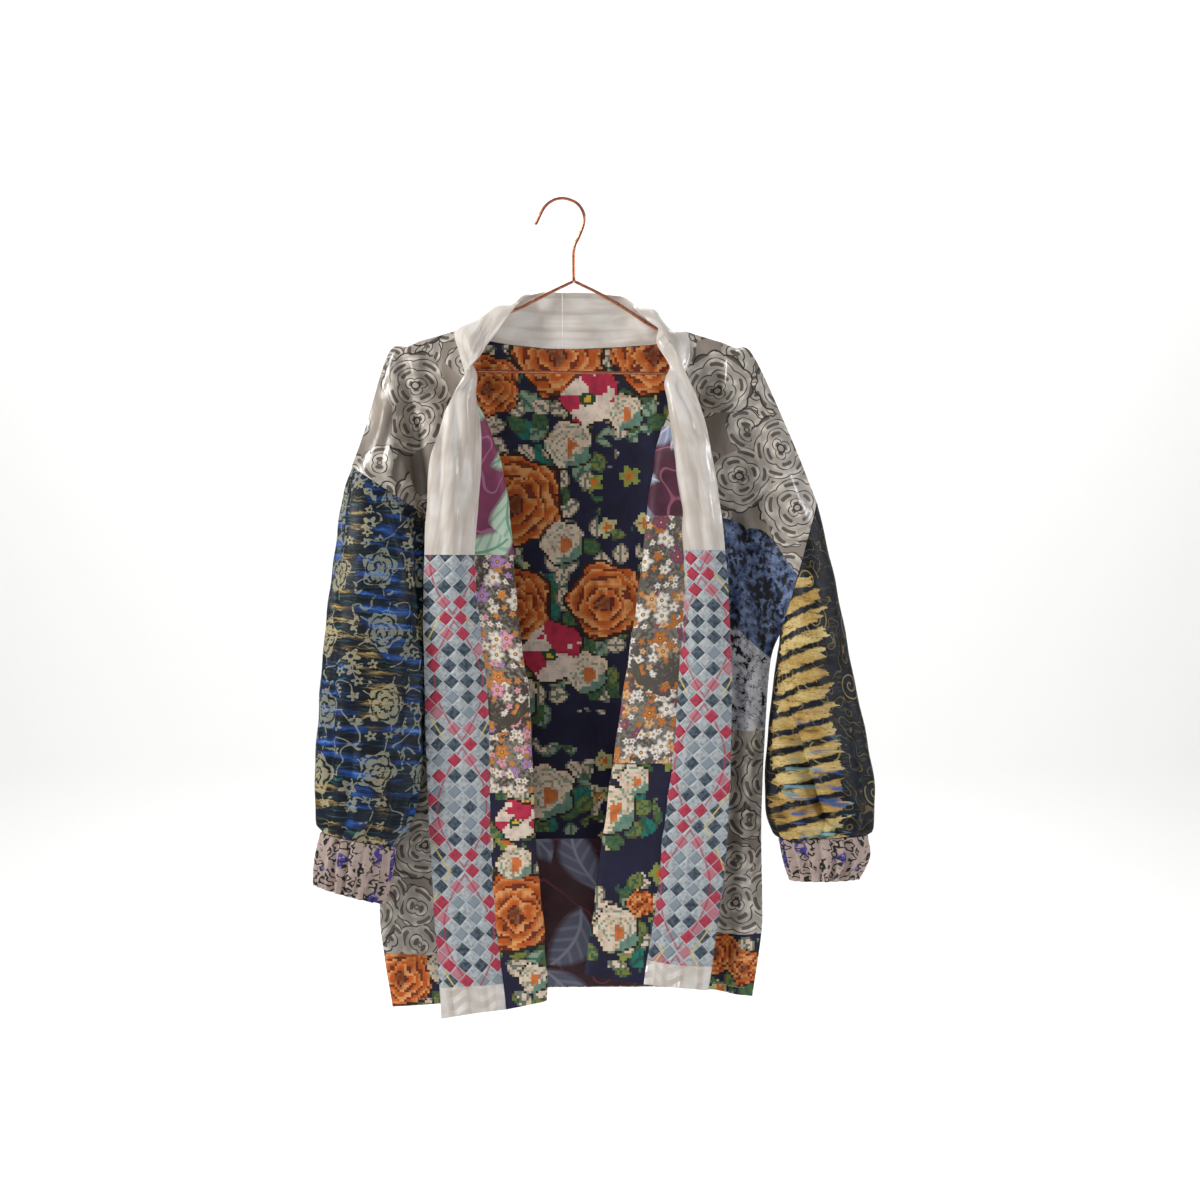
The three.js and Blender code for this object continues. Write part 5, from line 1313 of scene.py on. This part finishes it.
class KimonoColours(bpy.types.PropertyGroup):
    copper: tint("Copper", "The hanger's wire", "#C88468")
    satin: tint("White satin", "The collar and the band's ends", "#EDE7E1")
    rose_ground: tint("Rose satin", "Ground of the grey satin", "#A3978B")
    rose_silver: tint("Rose petals", "Petals of the grey satin's roses", "#E2D9CD")
    outline: tint("Rose outline", "Outlines of those roses", "#2C2624")
    sleeve_blue: tint("Sleeve blue", "Blue streaks of the left sleeve", "#21509E")
    sleeve_gold: tint("Sleeve gold", "Gold bars of the right sleeve", "#B48E45")
    cuff: tint("Cuffs", "Ground of the cuffs", "#C0AAA2")
    thread: tint("Thread", "Sewing thread", "#D9D4CC")
    backdrop: tint("Backdrop", "Floor and wall", "#F1F1F0")


def sizes():
    return bpy.context.scene.kimono_sizes


def hue(name):
    """One of the colours to change, as a display colour."""
    return [12.92 * c if c <= 0.0031308 else 1.055 * c ** (1 / 2.4) - 0.055
            for c in getattr(bpy.context.scene.kimono_colours, name)]


_materials = {}


def material(name, make, *details, **more):
    """The material of this name, made the first time it is asked for."""
    if name not in _materials:
        _materials[name] = make(name, *details, **more)
    return _materials[name]


def grey_roses():
    return material("rose satin", rose_satin, hue("rose_ground"), hue("rose_silver"),
                    hue("outline"), sizes().rose)


# ------------------------------------------------------------------ placing the pieces
def hang(made, nodes, slot, rests_on):
    """Hangs a piece of cloth from the root and hides the solids it stands for."""
    piece, (width, tall), area = made
    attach(piece, "root")
    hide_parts(*nodes)
    min(width * tall, max(0.32 * width * tall, area))
    return piece


def columns_for(surface, start, end, row, step):
    """Columns so that the faces along a row are about a step long."""
    fine = np.linspace(start, end, 400)
    places = surface(fine, np.full(400, float(row)))
    lengths = np.concatenate([[0], np.cumsum(np.linalg.norm(np.diff(places, axis=0), axis=1))])
    count = max(4, int(round(lengths[-1] * MM / step)))
    return np.interp(np.linspace(0, lengths[-1], count + 1), lengths, fine)


def rows_for(surface, start, end, across, step):
    return columns_for(lambda u, v: surface(v, u), start, end, across, step)


def slanted_rows(first, last, count):
    """Rows between two seams; each seam has a row at the outer edge and one further in."""
    def row(share):
        outer = mixed(first[0], last[0], share)
        inner = mixed(first[1], last[1], share)
        return lambda u: mixed(outer, inner, np.clip(u / RIGHT_SEAM_REACH, 0, 1))
    return [row(share) for share in np.linspace(0, 1, count + 1)]


class HangerWire(bpy.types.Operator):
    """Bends the hook, the two arms and the bar from round wire"""
    bl_idname = "kimono.hanger"
    bl_label = "Wire hanger"

    def execute(self, context):
        copper = material("copper wire", copper_wire, hue("copper"))
        for name, path in (("hanger_hook", HOOK_PATH), ("hanger_arm_left", ARM_LEFT_PATH),
                           ("hanger_arm_right", ARM_RIGHT_PATH), ("hanger_bar", BAR_PATH)):
            line = through(path, np.linspace(0, len(path) - 1, 12 * (len(path) - 1) + 1)) * MM
            piece = wire_tube(name + "_wire", line, sizes().wire / 2, copper)
            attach(piece, "root")
            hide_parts(name)
        return {"FINISHED"}


def wire_tube(name, line, radius, finish, around=16):
    """A round wire along a line in the hanger's plane, with rounded ends."""
    along = np.gradient(line, axis=0)
    along /= np.linalg.norm(along, axis=1)[:, None]
    depth = np.array([0.0, 1.0, 0.0])
    side = np.cross(along, depth)
    angles = np.arange(around) * math.tau / around
    rings = []
    for reach, share in ((-0.9, 0.35), (-0.6, 0.75)):
        rings.append((line[0] + along[0] * radius * reach, side[0], share))
    rings += [(place, across, 1.0) for place, across in zip(line, side)]
    for reach, share in ((0.6, 0.75), (0.9, 0.35)):
        rings.append((line[-1] + along[-1] * radius * reach, side[-1], share))
    mesh = bpy.data.meshes.new(name)
    build = bmesh.new()
    made = []
    for centre, across, share in rings:
        made.append([build.verts.new(Vector(centre + radius * share * (math.cos(a) * across
                                                                      + math.sin(a) * depth)))
                     for a in angles])
    for first, second in zip(made, made[1:]):
        for k in range(around):
            build.faces.new((first[k], first[k - 1], second[k - 1], second[k]))
    build.faces.new(made[0])
    build.faces.new(made[-1][::-1])
    bmesh.ops.recalc_face_normals(build, faces=build.faces)
    build.to_mesh(mesh)
    build.free()
    mesh.shade_smooth()
    mesh.materials.append(finish)
    return linked(name, mesh)


class JacketBack(bpy.types.Operator):
    """Hangs the back of rose satin and its three lining pieces from the shoulders"""
    bl_idname = "kimono.back"
    bl_label = "Back and its lining"

    # Where the lining's seams meet the rows of the left and of the right front.
    SEAMS = ((5.3, 6.3), (8.2, 9.2))

    def row_of(self, pair):
        """The back's row that meets a row of the left and one of the right front."""
        below = [(row - front.underarm) / (front.last - front.underarm)
                 for row, front in zip(pair, (front_left, front_right))]
        left, right = (mixed(BACK_ARM_SHARE, 1, share) for share in below)
        return lambda u: mixed(left, right, u)

    def between(self, start, end, count):
        def row(share):
            return lambda u: mixed(start(u), end(u), share)
        return [row(share) for share in np.linspace(0, 1, count + 1)]

    def execute(self, context):
        step = sizes().step
        us = columns_for(back, 0, 1, 0.5, step)
        tight = np.linspace(0, BACK_TIGHT, 7)[:-1]
        vs = np.concatenate([tight, rows_for(back, BACK_TIGHT, 1, 0.5, step)])
        fade = eased(us, BACK_SIDE_EASE)[None, :] * smooth(vs / BACK_TOP_EASE)[:, None]
        made = cloth_piece("back_shell", grid_of(back, us, vs), SHELL, 1, grey_roses(),
                           CREASES_BACK, sizes().ripple / MM, fade=fade)
        hang(made, ["back"], "rose_satin",
             ["hanger_arm_left_wire", "hanger_arm_right_wire"])
        upper, lower = (self.row_of(pair) for pair in self.SEAMS)
        flat = lambda value: (lambda u: np.full(len(u), value))
        needle = material("needlepoint of the back lining", needlepoint, FLOWERS_BACK,
                          sizes().stitch)
        plum = material("dark plum print", leaf_print, "#3C1C24", "#4A2630", "#6E7088", "#9A9CAE",
                        "#7E3644", 0.085)
        inner = us[1:-1]
        pieces = (("upper", flat(0.0012), upper, needle, "needlepoint_print", 56),
                  ("middle", upper, lower, needle, "needlepoint_print", 56),
                  ("lower", lower, flat(0.998), plum, "dark_plum_print", 38))
        for name, start, end, finish, slot, count in pieces:
            rows = self.between(start, end, count)
            places = grid_of(back, inner, rows)
            ease = (eased(inner, BACK_SIDE_EASE)[None, :]
                    * smooth(rows_at(rows, inner) / BACK_TOP_EASE))
            made = cloth_piece(f"back_lining_{name}_cloth", places, BACK_LINING, 1, finish,
                               CREASES_BACK, sizes().ripple / MM, fade=ease)
            hang(made, [f"back_lining_{name}"], slot, ["back_shell"])
        return {"FINISHED"}


class JacketFronts(bpy.types.Operator):
    """Cuts the left and right front with their hem pieces and the right front's patchwork"""
    bl_idname = "kimono.fronts"
    bl_label = "Fronts"

    def columns(self, front, step):
        """Even columns over the chest, and close ones round the roll."""
        return np.unique(np.concatenate([columns_for(front, 0, front.ROLL_START, 7, step),
                                         np.linspace(front.ROLL_START, front.ROLL_END, 9),
                                         [6.35, 6.7, front.END]]))

    def piece(self, name, front, rows, across, creases, finish, slot, nodes):
        side = front.side
        places = grid_of(front, across, rows)
        ease = (smooth(across / FRONT_SIDE_EASE)[None, :]
                * smooth(rows_at(rows, across) / FRONT_TOP_EASE))
        made = cloth_piece(name, places, SHELL, -side, finish, creases, sizes().ripple / MM,
                           fade=ease)
        hang(made, nodes, slot, ["hanger_arm_left_wire" if side == LEFT
                                         else "hanger_arm_right_wire"])

    def execute(self, context):
        step = sizes().step
        needle_left = material("needlepoint of the left front", needlepoint, FLOWERS_LEFT,
                               sizes().stitch)
        needle_right = material("needlepoint of the right front", needlepoint, FLOWERS_RIGHT,
                                sizes().stitch)
        across = self.columns(front_left, step)
        rows = rows_for(front_left, 0.004, ROWS_LEFT["hem"], 2.5, step)
        self.piece("front_left_satin", front_left, rows, across, CREASES_LEFT, grey_roses(),
                   "rose_satin", ["front_left_body"])
        rows = rows_for(front_left, ROWS_LEFT["hem"], ROWS_LEFT["foot"], 2.5, step)
        self.piece("front_left_hem_cloth", front_left, rows, across, CREASES_LEFT, needle_left,
                   "needlepoint_print", ["front_left_hem"])
        lace = material("blue lace print", lace_print, "#8094BC", "#4A5C88", "#0E111A",
                        0.011, 0.53)
        white = material("white print", lace_print, "#EFEFF3", "#CFD0DA", "#131418",
                         0.011, 0.6)
        across = self.columns(front_right, step)
        parts = (("yoke", (0.006, 0.006), RIGHT_SEAMS[0], 70, grey_roses(), "rose_satin"),
                 ("lace", RIGHT_SEAMS[0], RIGHT_SEAMS[1], 34, lace, "lace_print"),
                 ("print", RIGHT_SEAMS[1], RIGHT_SEAMS[2], 26, white, "white_print"),
                 ("satin", RIGHT_SEAMS[2], RIGHT_SEAMS[3], 48, grey_roses(), "rose_satin"),
                 ("hem", RIGHT_SEAMS[3], (ROWS_RIGHT["foot"],) * 2, 18, needle_right,
                  "needlepoint_print"))
        for name, first, last, count, finish, slot in parts:
            self.piece(f"front_right_{name}_cloth", front_right, slanted_rows(first, last, count),
                       across, CREASES_RIGHT, finish, slot, [f"front_right_{name}"])
        return {"FINISHED"}


class FrontLinings(bpy.types.Operator):
    """Lines the turned-back front edges with three strips on each side"""
    bl_idname = "kimono.front_linings"
    bl_label = "Front linings"

    def execute(self, context):
        step = sizes().step
        plum = material("plum print", leaf_print, "#8A3A5E", "#7A3456", "#BFD4BE", "#6FA088",
                        "#A8688A", 0.075)
        aubergine = material("aubergine print", leaf_print, "#5C2A44", "#46202F", "#7E88A4",
                             "#B9BECC", "#9A5A70", 0.06)
        light = material("small flowers left", small_flowers, "#4A3E38", "#8E857B",
                         ("#EDE3D4", "#D98A42", "#E7A3B4", "#B58AC4"))
        dusk = material("small flowers right", small_flowers, "#57504A", "#857E77",
                        ("#F0EBE2", "#C97A36", "#E2B483", "#8E4A6A"))
        needle_left = _materials["needlepoint of the left front"]
        needle_right = _materials["needlepoint of the right front"]
        across = np.unique(np.concatenate([np.linspace(4, 5, 5), np.linspace(5, 6, 11),
                                           np.linspace(6, 7, 7)]))
        left = ((plum, "plum_print"), (light, "small_flower_print"),
                (needle_left, "needlepoint_print"))
        right = ((aubergine, "aubergine_print"), (dusk, "small_flower_print"),
                 (needle_right, "needlepoint_print"))
        for word, front, seams, creases, cloths in (
                ("left", front_left, ROWS_LEFT, CREASES_LEFT, left),
                ("right", front_right, ROWS_RIGHT, CREASES_RIGHT, right)):
            names = ("top", "middle", "low", "foot")
            for name, end, (finish, slot) in zip(names, names[1:], cloths):
                rows = rows_for(front, seams[name], seams[end], 6.5, step * LINING_DETAIL)
                made = cloth_piece(f"lining_{word}_{name}_cloth", grid_of(front, across, rows),
                                   LINING, -front.side, finish, creases, sizes().ripple / MM)
                shell = f"front_{word}_satin" + ("" if front is front_left else "_cloth")
                hang(made, [f"lining_{word}_{name}"], slot, [shell])
        return {"FINISHED"}


class CollarBand(bpy.types.Operator):
    """Sews the white satin collar, the diamond print band and its white ends"""
    bl_idname = "kimono.collar_band"
    bl_label = "Collar and band"

    def execute(self, context):
        step = sizes().step
        satin = material("white satin", white_satin, hue("satin"))
        quilted = material("quilted white satin", white_satin, hue("satin"), quilted=True)
        across = np.linspace(0, 1, BAND_FACES + 1)
        for word, collar, front, meets, creases in (
                ("left", collar_left, front_left, ROWS_LEFT, CREASES_BAND_LEFT),
                ("right", collar_right, front_right, ROWS_RIGHT, CREASES_BAND_RIGHT)):
            printed = material(f"diamond print {word}", diamond_print, sizes().diamond, 0.031,
                               0.0 if word == "left" else 0.043)
            seams = [0.0] + [float(front.collar_row(np.array([meets[name]], float))[0])
                             for name in ("print", "end", "foot")]
            side = front.side
            for name, start, end, finish, slot in (
                    ("collar", seams[0], seams[1], satin, "white_satin"),
                    ("band", seams[1], seams[2], printed, "diamond_print"),
                    ("band_end", seams[2], seams[3], quilted, "white_satin")):
                rows = rows_for(collar, start, end, 0.5, step * BAND_DETAIL)
                made = cloth_piece(f"{name}_{word}_cloth", grid_of(collar, across, rows), BAND,
                                   -side, finish, creases, sizes().ripple / MM * BAND_RIPPLE,
                                   fade=smooth(across / BAND_EASE)[None, :])
                hang(made, [f"{name}_{word}"], slot,
                     ["front_left_satin" if side == LEFT else "front_right_yoke_cloth"])
        return {"FINISHED"}


class Sleeves(bpy.types.Operator):
    """Hangs the two gathered sleeves from the armholes"""
    bl_idname = "kimono.sleeves"
    bl_label = "Sleeves"

    def execute(self, context):
        blue = material("medallion brocade", medallion_brocade, hue("sleeve_blue"))
        gold = material("gold dash brocade", gold_dash_brocade, hue("sleeve_gold"))
        for word, sign, rows, folds, extra, finish, slot, yoke in (
                ("left", -1, SLEEVE_LEFT, SLEEVE_FOLDS_LEFT, SLEEVE_CREASES_LEFT, blue,
                 "navy_stripe_print", "front_left_satin"),
                ("right", 1, SLEEVE_RIGHT, SLEEVE_FOLDS_RIGHT, SLEEVE_CREASES_RIGHT, gold,
                 "gold_stripe_print", "front_right_yoke_cloth")):
            sleeve = Sleeve(rows, folds + extra)
            start = SLEEVE_SETBACK / SLEEVE_FIRST_ROW
            turns = np.linspace(0, 1, SLEEVE_FACES + 1)
            down = rows_for(sleeve, start, sleeve.last - 0.004, 0.25, sizes().fine_step)
            made = cloth_piece(f"sleeve_{word}_cloth", grid_of(sleeve, turns, down), SHELL, sign,
                               finish, (), sizes().ripple / MM, wrapped=True)
            hang(made, [f"sleeve_{word}"], slot, [yoke])
        return {"FINISHED"}


class Cuffs(bpy.types.Operator):
    """Gathers the two elastic cuffs"""
    bl_idname = "kimono.cuffs"
    bl_label = "Cuffs"

    def execute(self, context):
        finish = material("cuff print", cuff_print, hue("cuff"))
        for word, sign, rows in (("left", -1, CUFF_LEFT), ("right", 1, CUFF_RIGHT)):
            cuff = Cuff(rows)
            turns = np.linspace(0, 1, CUFF_FACES + 1)
            down = rows_for(cuff, 0, cuff.last, 0.25, sizes().fine_step)
            made = cloth_piece(f"cuff_{word}_cloth", grid_of(cuff, turns, down), SHELL, sign,
                               finish, (), sizes().ripple / MM * CUFF_RIPPLE, wrapped=True)
            hang(made, [f"cuff_{word}"], "cuff_print", [f"sleeve_{word}_cloth"])
        return {"FINISHED"}


def stitch_tree(finish):
    """A node tree that lays small stitches along a line, standing just clear of the cloth."""
    tree = bpy.data.node_groups.new("Seam stitches", "GeometryNodeTree")
    face = tree.interface
    face.new_socket("Line", in_out="INPUT", socket_type="NodeSocketGeometry")
    for name in ("Pitch", "Stitch", "Radius"):
        face.new_socket(name, in_out="INPUT", socket_type="NodeSocketFloat")
    face.new_socket("Stitches", in_out="OUTPUT", socket_type="NodeSocketGeometry")

    def add(kind, settings=(), **inputs):
        """A node: its settings, and its inputs by name, each a value or an earlier output."""
        node = tree.nodes.new(kind)
        for setting, value in dict(settings).items():
            setattr(node, setting, value)
        for name, value in inputs.items():
            if isinstance(value, bpy.types.NodeSocket):
                tree.links.new(value, node.inputs[name])
            else:
                node.inputs[name].default_value = value
        return node.outputs

    given = add("NodeGroupInput")
    curve = add("GeometryNodeMeshToCurve", Mesh=given["Line"])
    even = add("GeometryNodeResampleCurve", {"mode": "LENGTH"}, Curve=curve["Curve"],
               Length=given["Pitch"])
    stitch = add("GeometryNodeMeshCylinder", Vertices=6, Radius=given["Radius"],
                 Depth=given["Stitch"])
    tangent = add("GeometryNodeInputTangent")
    align = add("FunctionNodeAlignRotationToVector", {"axis": "Z"}, Vector=tangent["Tangent"])
    place = add("GeometryNodeInstanceOnPoints", Points=even["Curve"], Instance=stitch["Mesh"],
                Rotation=align["Rotation"])
    real = add("GeometryNodeRealizeInstances", Geometry=place["Instances"])
    cover = add("GeometryNodeSetMaterial", Geometry=real["Geometry"], Material=finish)
    add("NodeGroupOutput", Stitches=cover["Geometry"])
    return tree


class SeamStitches(bpy.types.Operator):
    """Sews rows of small stitches beside the band's seams and along the fronts' hems"""
    bl_idname = "kimono.stitches"
    bl_label = "Seam stitches"

    SETBACK = 0.05       # the stitches' place across the band, as a share of its width
    CLEAR = 0.2          # how far their middle stands over the cloth, in mm

    def lines(self):
        """Lines over the cloth, in mm."""
        for collar, front in ((collar_left, front_left), (collar_right, front_right)):
            last = front.last
            end = float(front.collar_row(np.array([last], float))[0])
            rows = np.linspace(7.5, end - 0.05, 220)
            for place in (self.SETBACK, 1 - self.SETBACK):
                yield self.over(collar, np.full(len(rows), place), rows, -front.side, BAND)
            across = np.linspace(0.6, 4.6, 90)
            yield self.over(front, across, np.full(len(across), last - 0.12), -front.side, SHELL)

    def over(self, surface, us, vs, sign, layer):
        reach = 1e-3
        across = surface(us + reach, vs) - surface(us - reach, vs)
        down = surface(us, vs + reach) - surface(us, vs - reach)
        normal = np.cross(across, down)
        normal *= sign / np.linalg.norm(normal, axis=1)[:, None]
        places = surface(us, vs)
        creases = {collar_left: CREASES_BAND_LEFT, collar_right: CREASES_BAND_RIGHT,
                   front_left: CREASES_LEFT, front_right: CREASES_RIGHT}[surface]
        depth = crease_depth(creases, places)
        out = layer[1] + self.CLEAR - depth
        return places + normal * out[:, None]

    def execute(self, context):
        finish = material("sewing thread", thread, hue("thread"))
        points, edges = [], []
        for line in self.lines():
            first = len(points)
            points += [tuple(place * MM) for place in line]
            edges += [(first + k, first + k + 1) for k in range(len(line) - 1)]
        mesh = bpy.data.meshes.new("seam_lines")
        mesh.from_pydata(points, edges, [])
        lines = linked("seam_lines", mesh)
        modifier = lines.modifiers.new("Stitches", "NODES")
        modifier.node_group = stitch_tree(finish)
        inputs = {item.name: item.identifier for item in modifier.node_group.interface.items_tree
                  if item.in_out == "INPUT"}
        modifier[inputs["Pitch"]] = sizes().seam_pitch
        modifier[inputs["Stitch"]] = sizes().seam_stitch
        modifier[inputs["Radius"]] = sizes().thread / 2
        graph = context.evaluated_depsgraph_get()
        made = bpy.data.meshes.new_from_object(lines.evaluated_get(graph))
        bpy.data.objects.remove(lines)
        if not made.polygons:
            raise RuntimeError("no stitches were made")
        made.shade_smooth()
        piece = linked("seam_stitches", made)
        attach(piece, "root")
        return {"FINISHED"}


class Stage(bpy.types.Operator):
    """Sets the floor and backdrop, the soft lights and the camera"""
    bl_idname = "kimono.stage"
    bl_label = "Stage"

    FLOOR_FRONT = -3.6
    WALL = 3.9           # how far the wall stands behind the hanger
    WALL_TOP = 3.6
    HALF_WIDTH = 4.0
    BEND = 0.5           # radius of the bend from the floor to the wall
    MIDDLE = (0.04, 0.0, -0.5)
    LIGHTS = table("name place aim size power colour",
        ("key light", (-2.0, -1.0, 0.9), MIDDLE, 0.5, 50, (1, 0.985, 0.96)),
        ("side light", (2.2, -0.8, 0.3), MIDDLE, 0.45, 20, (0.97, 0.98, 1)),
        ("front light", (0.3, -3.4, 0.5), MIDDLE, 1.0, 4, (1, 1, 1)),
        ("wall light", (0.0, 2.3, 2.7), (0, 3.9, -0.4), 2.4, 150, (1, 1, 1)))
    WORLD_COLOUR = (0.95, 0.97, 1, 1)
    WORLD_STRENGTH = 0.22
    CAMERA_PLACE = (0.0385, -3.0, -0.44)
    LENS = 81.82
    SENSOR = 36

    def backdrop(self):
        drop, bend, turn = -sizes().floor_drop, self.BEND, self.WALL - self.BEND
        profile = [(self.FLOOR_FRONT, drop), (-1.0, drop), (turn, drop)]
        profile += [(turn + bend * math.sin(a), drop + bend - bend * math.cos(a))
                    for a in np.linspace(0.1, math.pi / 2, 14)]
        profile += [(self.WALL, 1.2), (self.WALL, self.WALL_TOP)]
        points = [(x, y, z) for y, z in profile for x in (-self.HALF_WIDTH, self.HALF_WIDTH)]
        faces = [(2 * k, 2 * k + 1, 2 * k + 3, 2 * k + 2) for k in range(len(profile) - 1)]
        mesh = bpy.data.meshes.new("backdrop")
        mesh.from_pydata(points, [], faces)
        mesh.shade_smooth()
        mesh.materials.append(material("backdrop paper", backdrop_paper, hue("backdrop")))
        return linked("backdrop", mesh)

    def light(self, name, place, aim, size, power, colour):
        data = bpy.data.lights.new(name, "AREA")
        data.shape = "SQUARE"
        data.size = size
        data.energy = power
        data.color = colour
        lamp = linked(name, data)
        lamp.location = place
        lamp.rotation_euler = (Vector(aim) - Vector(place)).to_track_quat("-Z", "Y").to_euler()
        return lamp

    def execute(self, context):
        self.backdrop()
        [self.light(**row) for row in self.LIGHTS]
        world = bpy.data.worlds.new("studio")
        world.use_nodes = True
        ground = world.node_tree.nodes["Background"]
        ground.inputs["Color"].default_value = self.WORLD_COLOUR
        ground.inputs["Strength"].default_value = self.WORLD_STRENGTH
        context.scene.world = world
        context.scene.view_settings.view_transform = "Standard"
        data = bpy.data.cameras.new("camera")
        data.lens = self.LENS
        data.sensor_width = self.SENSOR
        camera = linked("camera", data)
        camera.location = self.CAMERA_PLACE
        camera.rotation_euler = (math.pi / 2, 0, 0)
        context.scene.camera = camera
        return {"FINISHED"}


OPERATORS = (HangerWire, JacketBack, JacketFronts, FrontLinings, CollarBand, Sleeves, Cuffs,
             SeamStitches, Stage)


class KimonoPanel(bpy.types.Panel):
    """Lists the pieces of the jacket"""
    bl_idname = "VIEW3D_PT_kimono"
    bl_label = "Kimono jacket"
    bl_space_type = "VIEW_3D"
    bl_region_type = "UI"
    bl_category = "Kimono"

    def draw(self, context):
        for operator in OPERATORS:
            self.layout.operator(operator.bl_idname)
        for group in (context.scene.kimono_sizes, context.scene.kimono_colours):
            for name in group.bl_rna.properties.keys():
                if name not in {"rna_type", "name"}:
                    self.layout.prop(group, name)


CLASSES = (KimonoSizes, KimonoColours, *OPERATORS, KimonoPanel)


def register():
    for each in CLASSES:
        bpy.utils.register_class(each)
    bpy.types.Scene.kimono_sizes = PointerProperty(type=KimonoSizes)
    bpy.types.Scene.kimono_colours = PointerProperty(type=KimonoColours)


def unregister():
    del bpy.types.Scene.kimono_colours
    del bpy.types.Scene.kimono_sizes
    for each in reversed(CLASSES):
        bpy.utils.unregister_class(each)


def main():
    register()
    for operator in OPERATORS:
        group, name = operator.bl_idname.split(".")
        getattr(getattr(bpy.ops, group), name)()


if __name__ == "__main__":
    main()
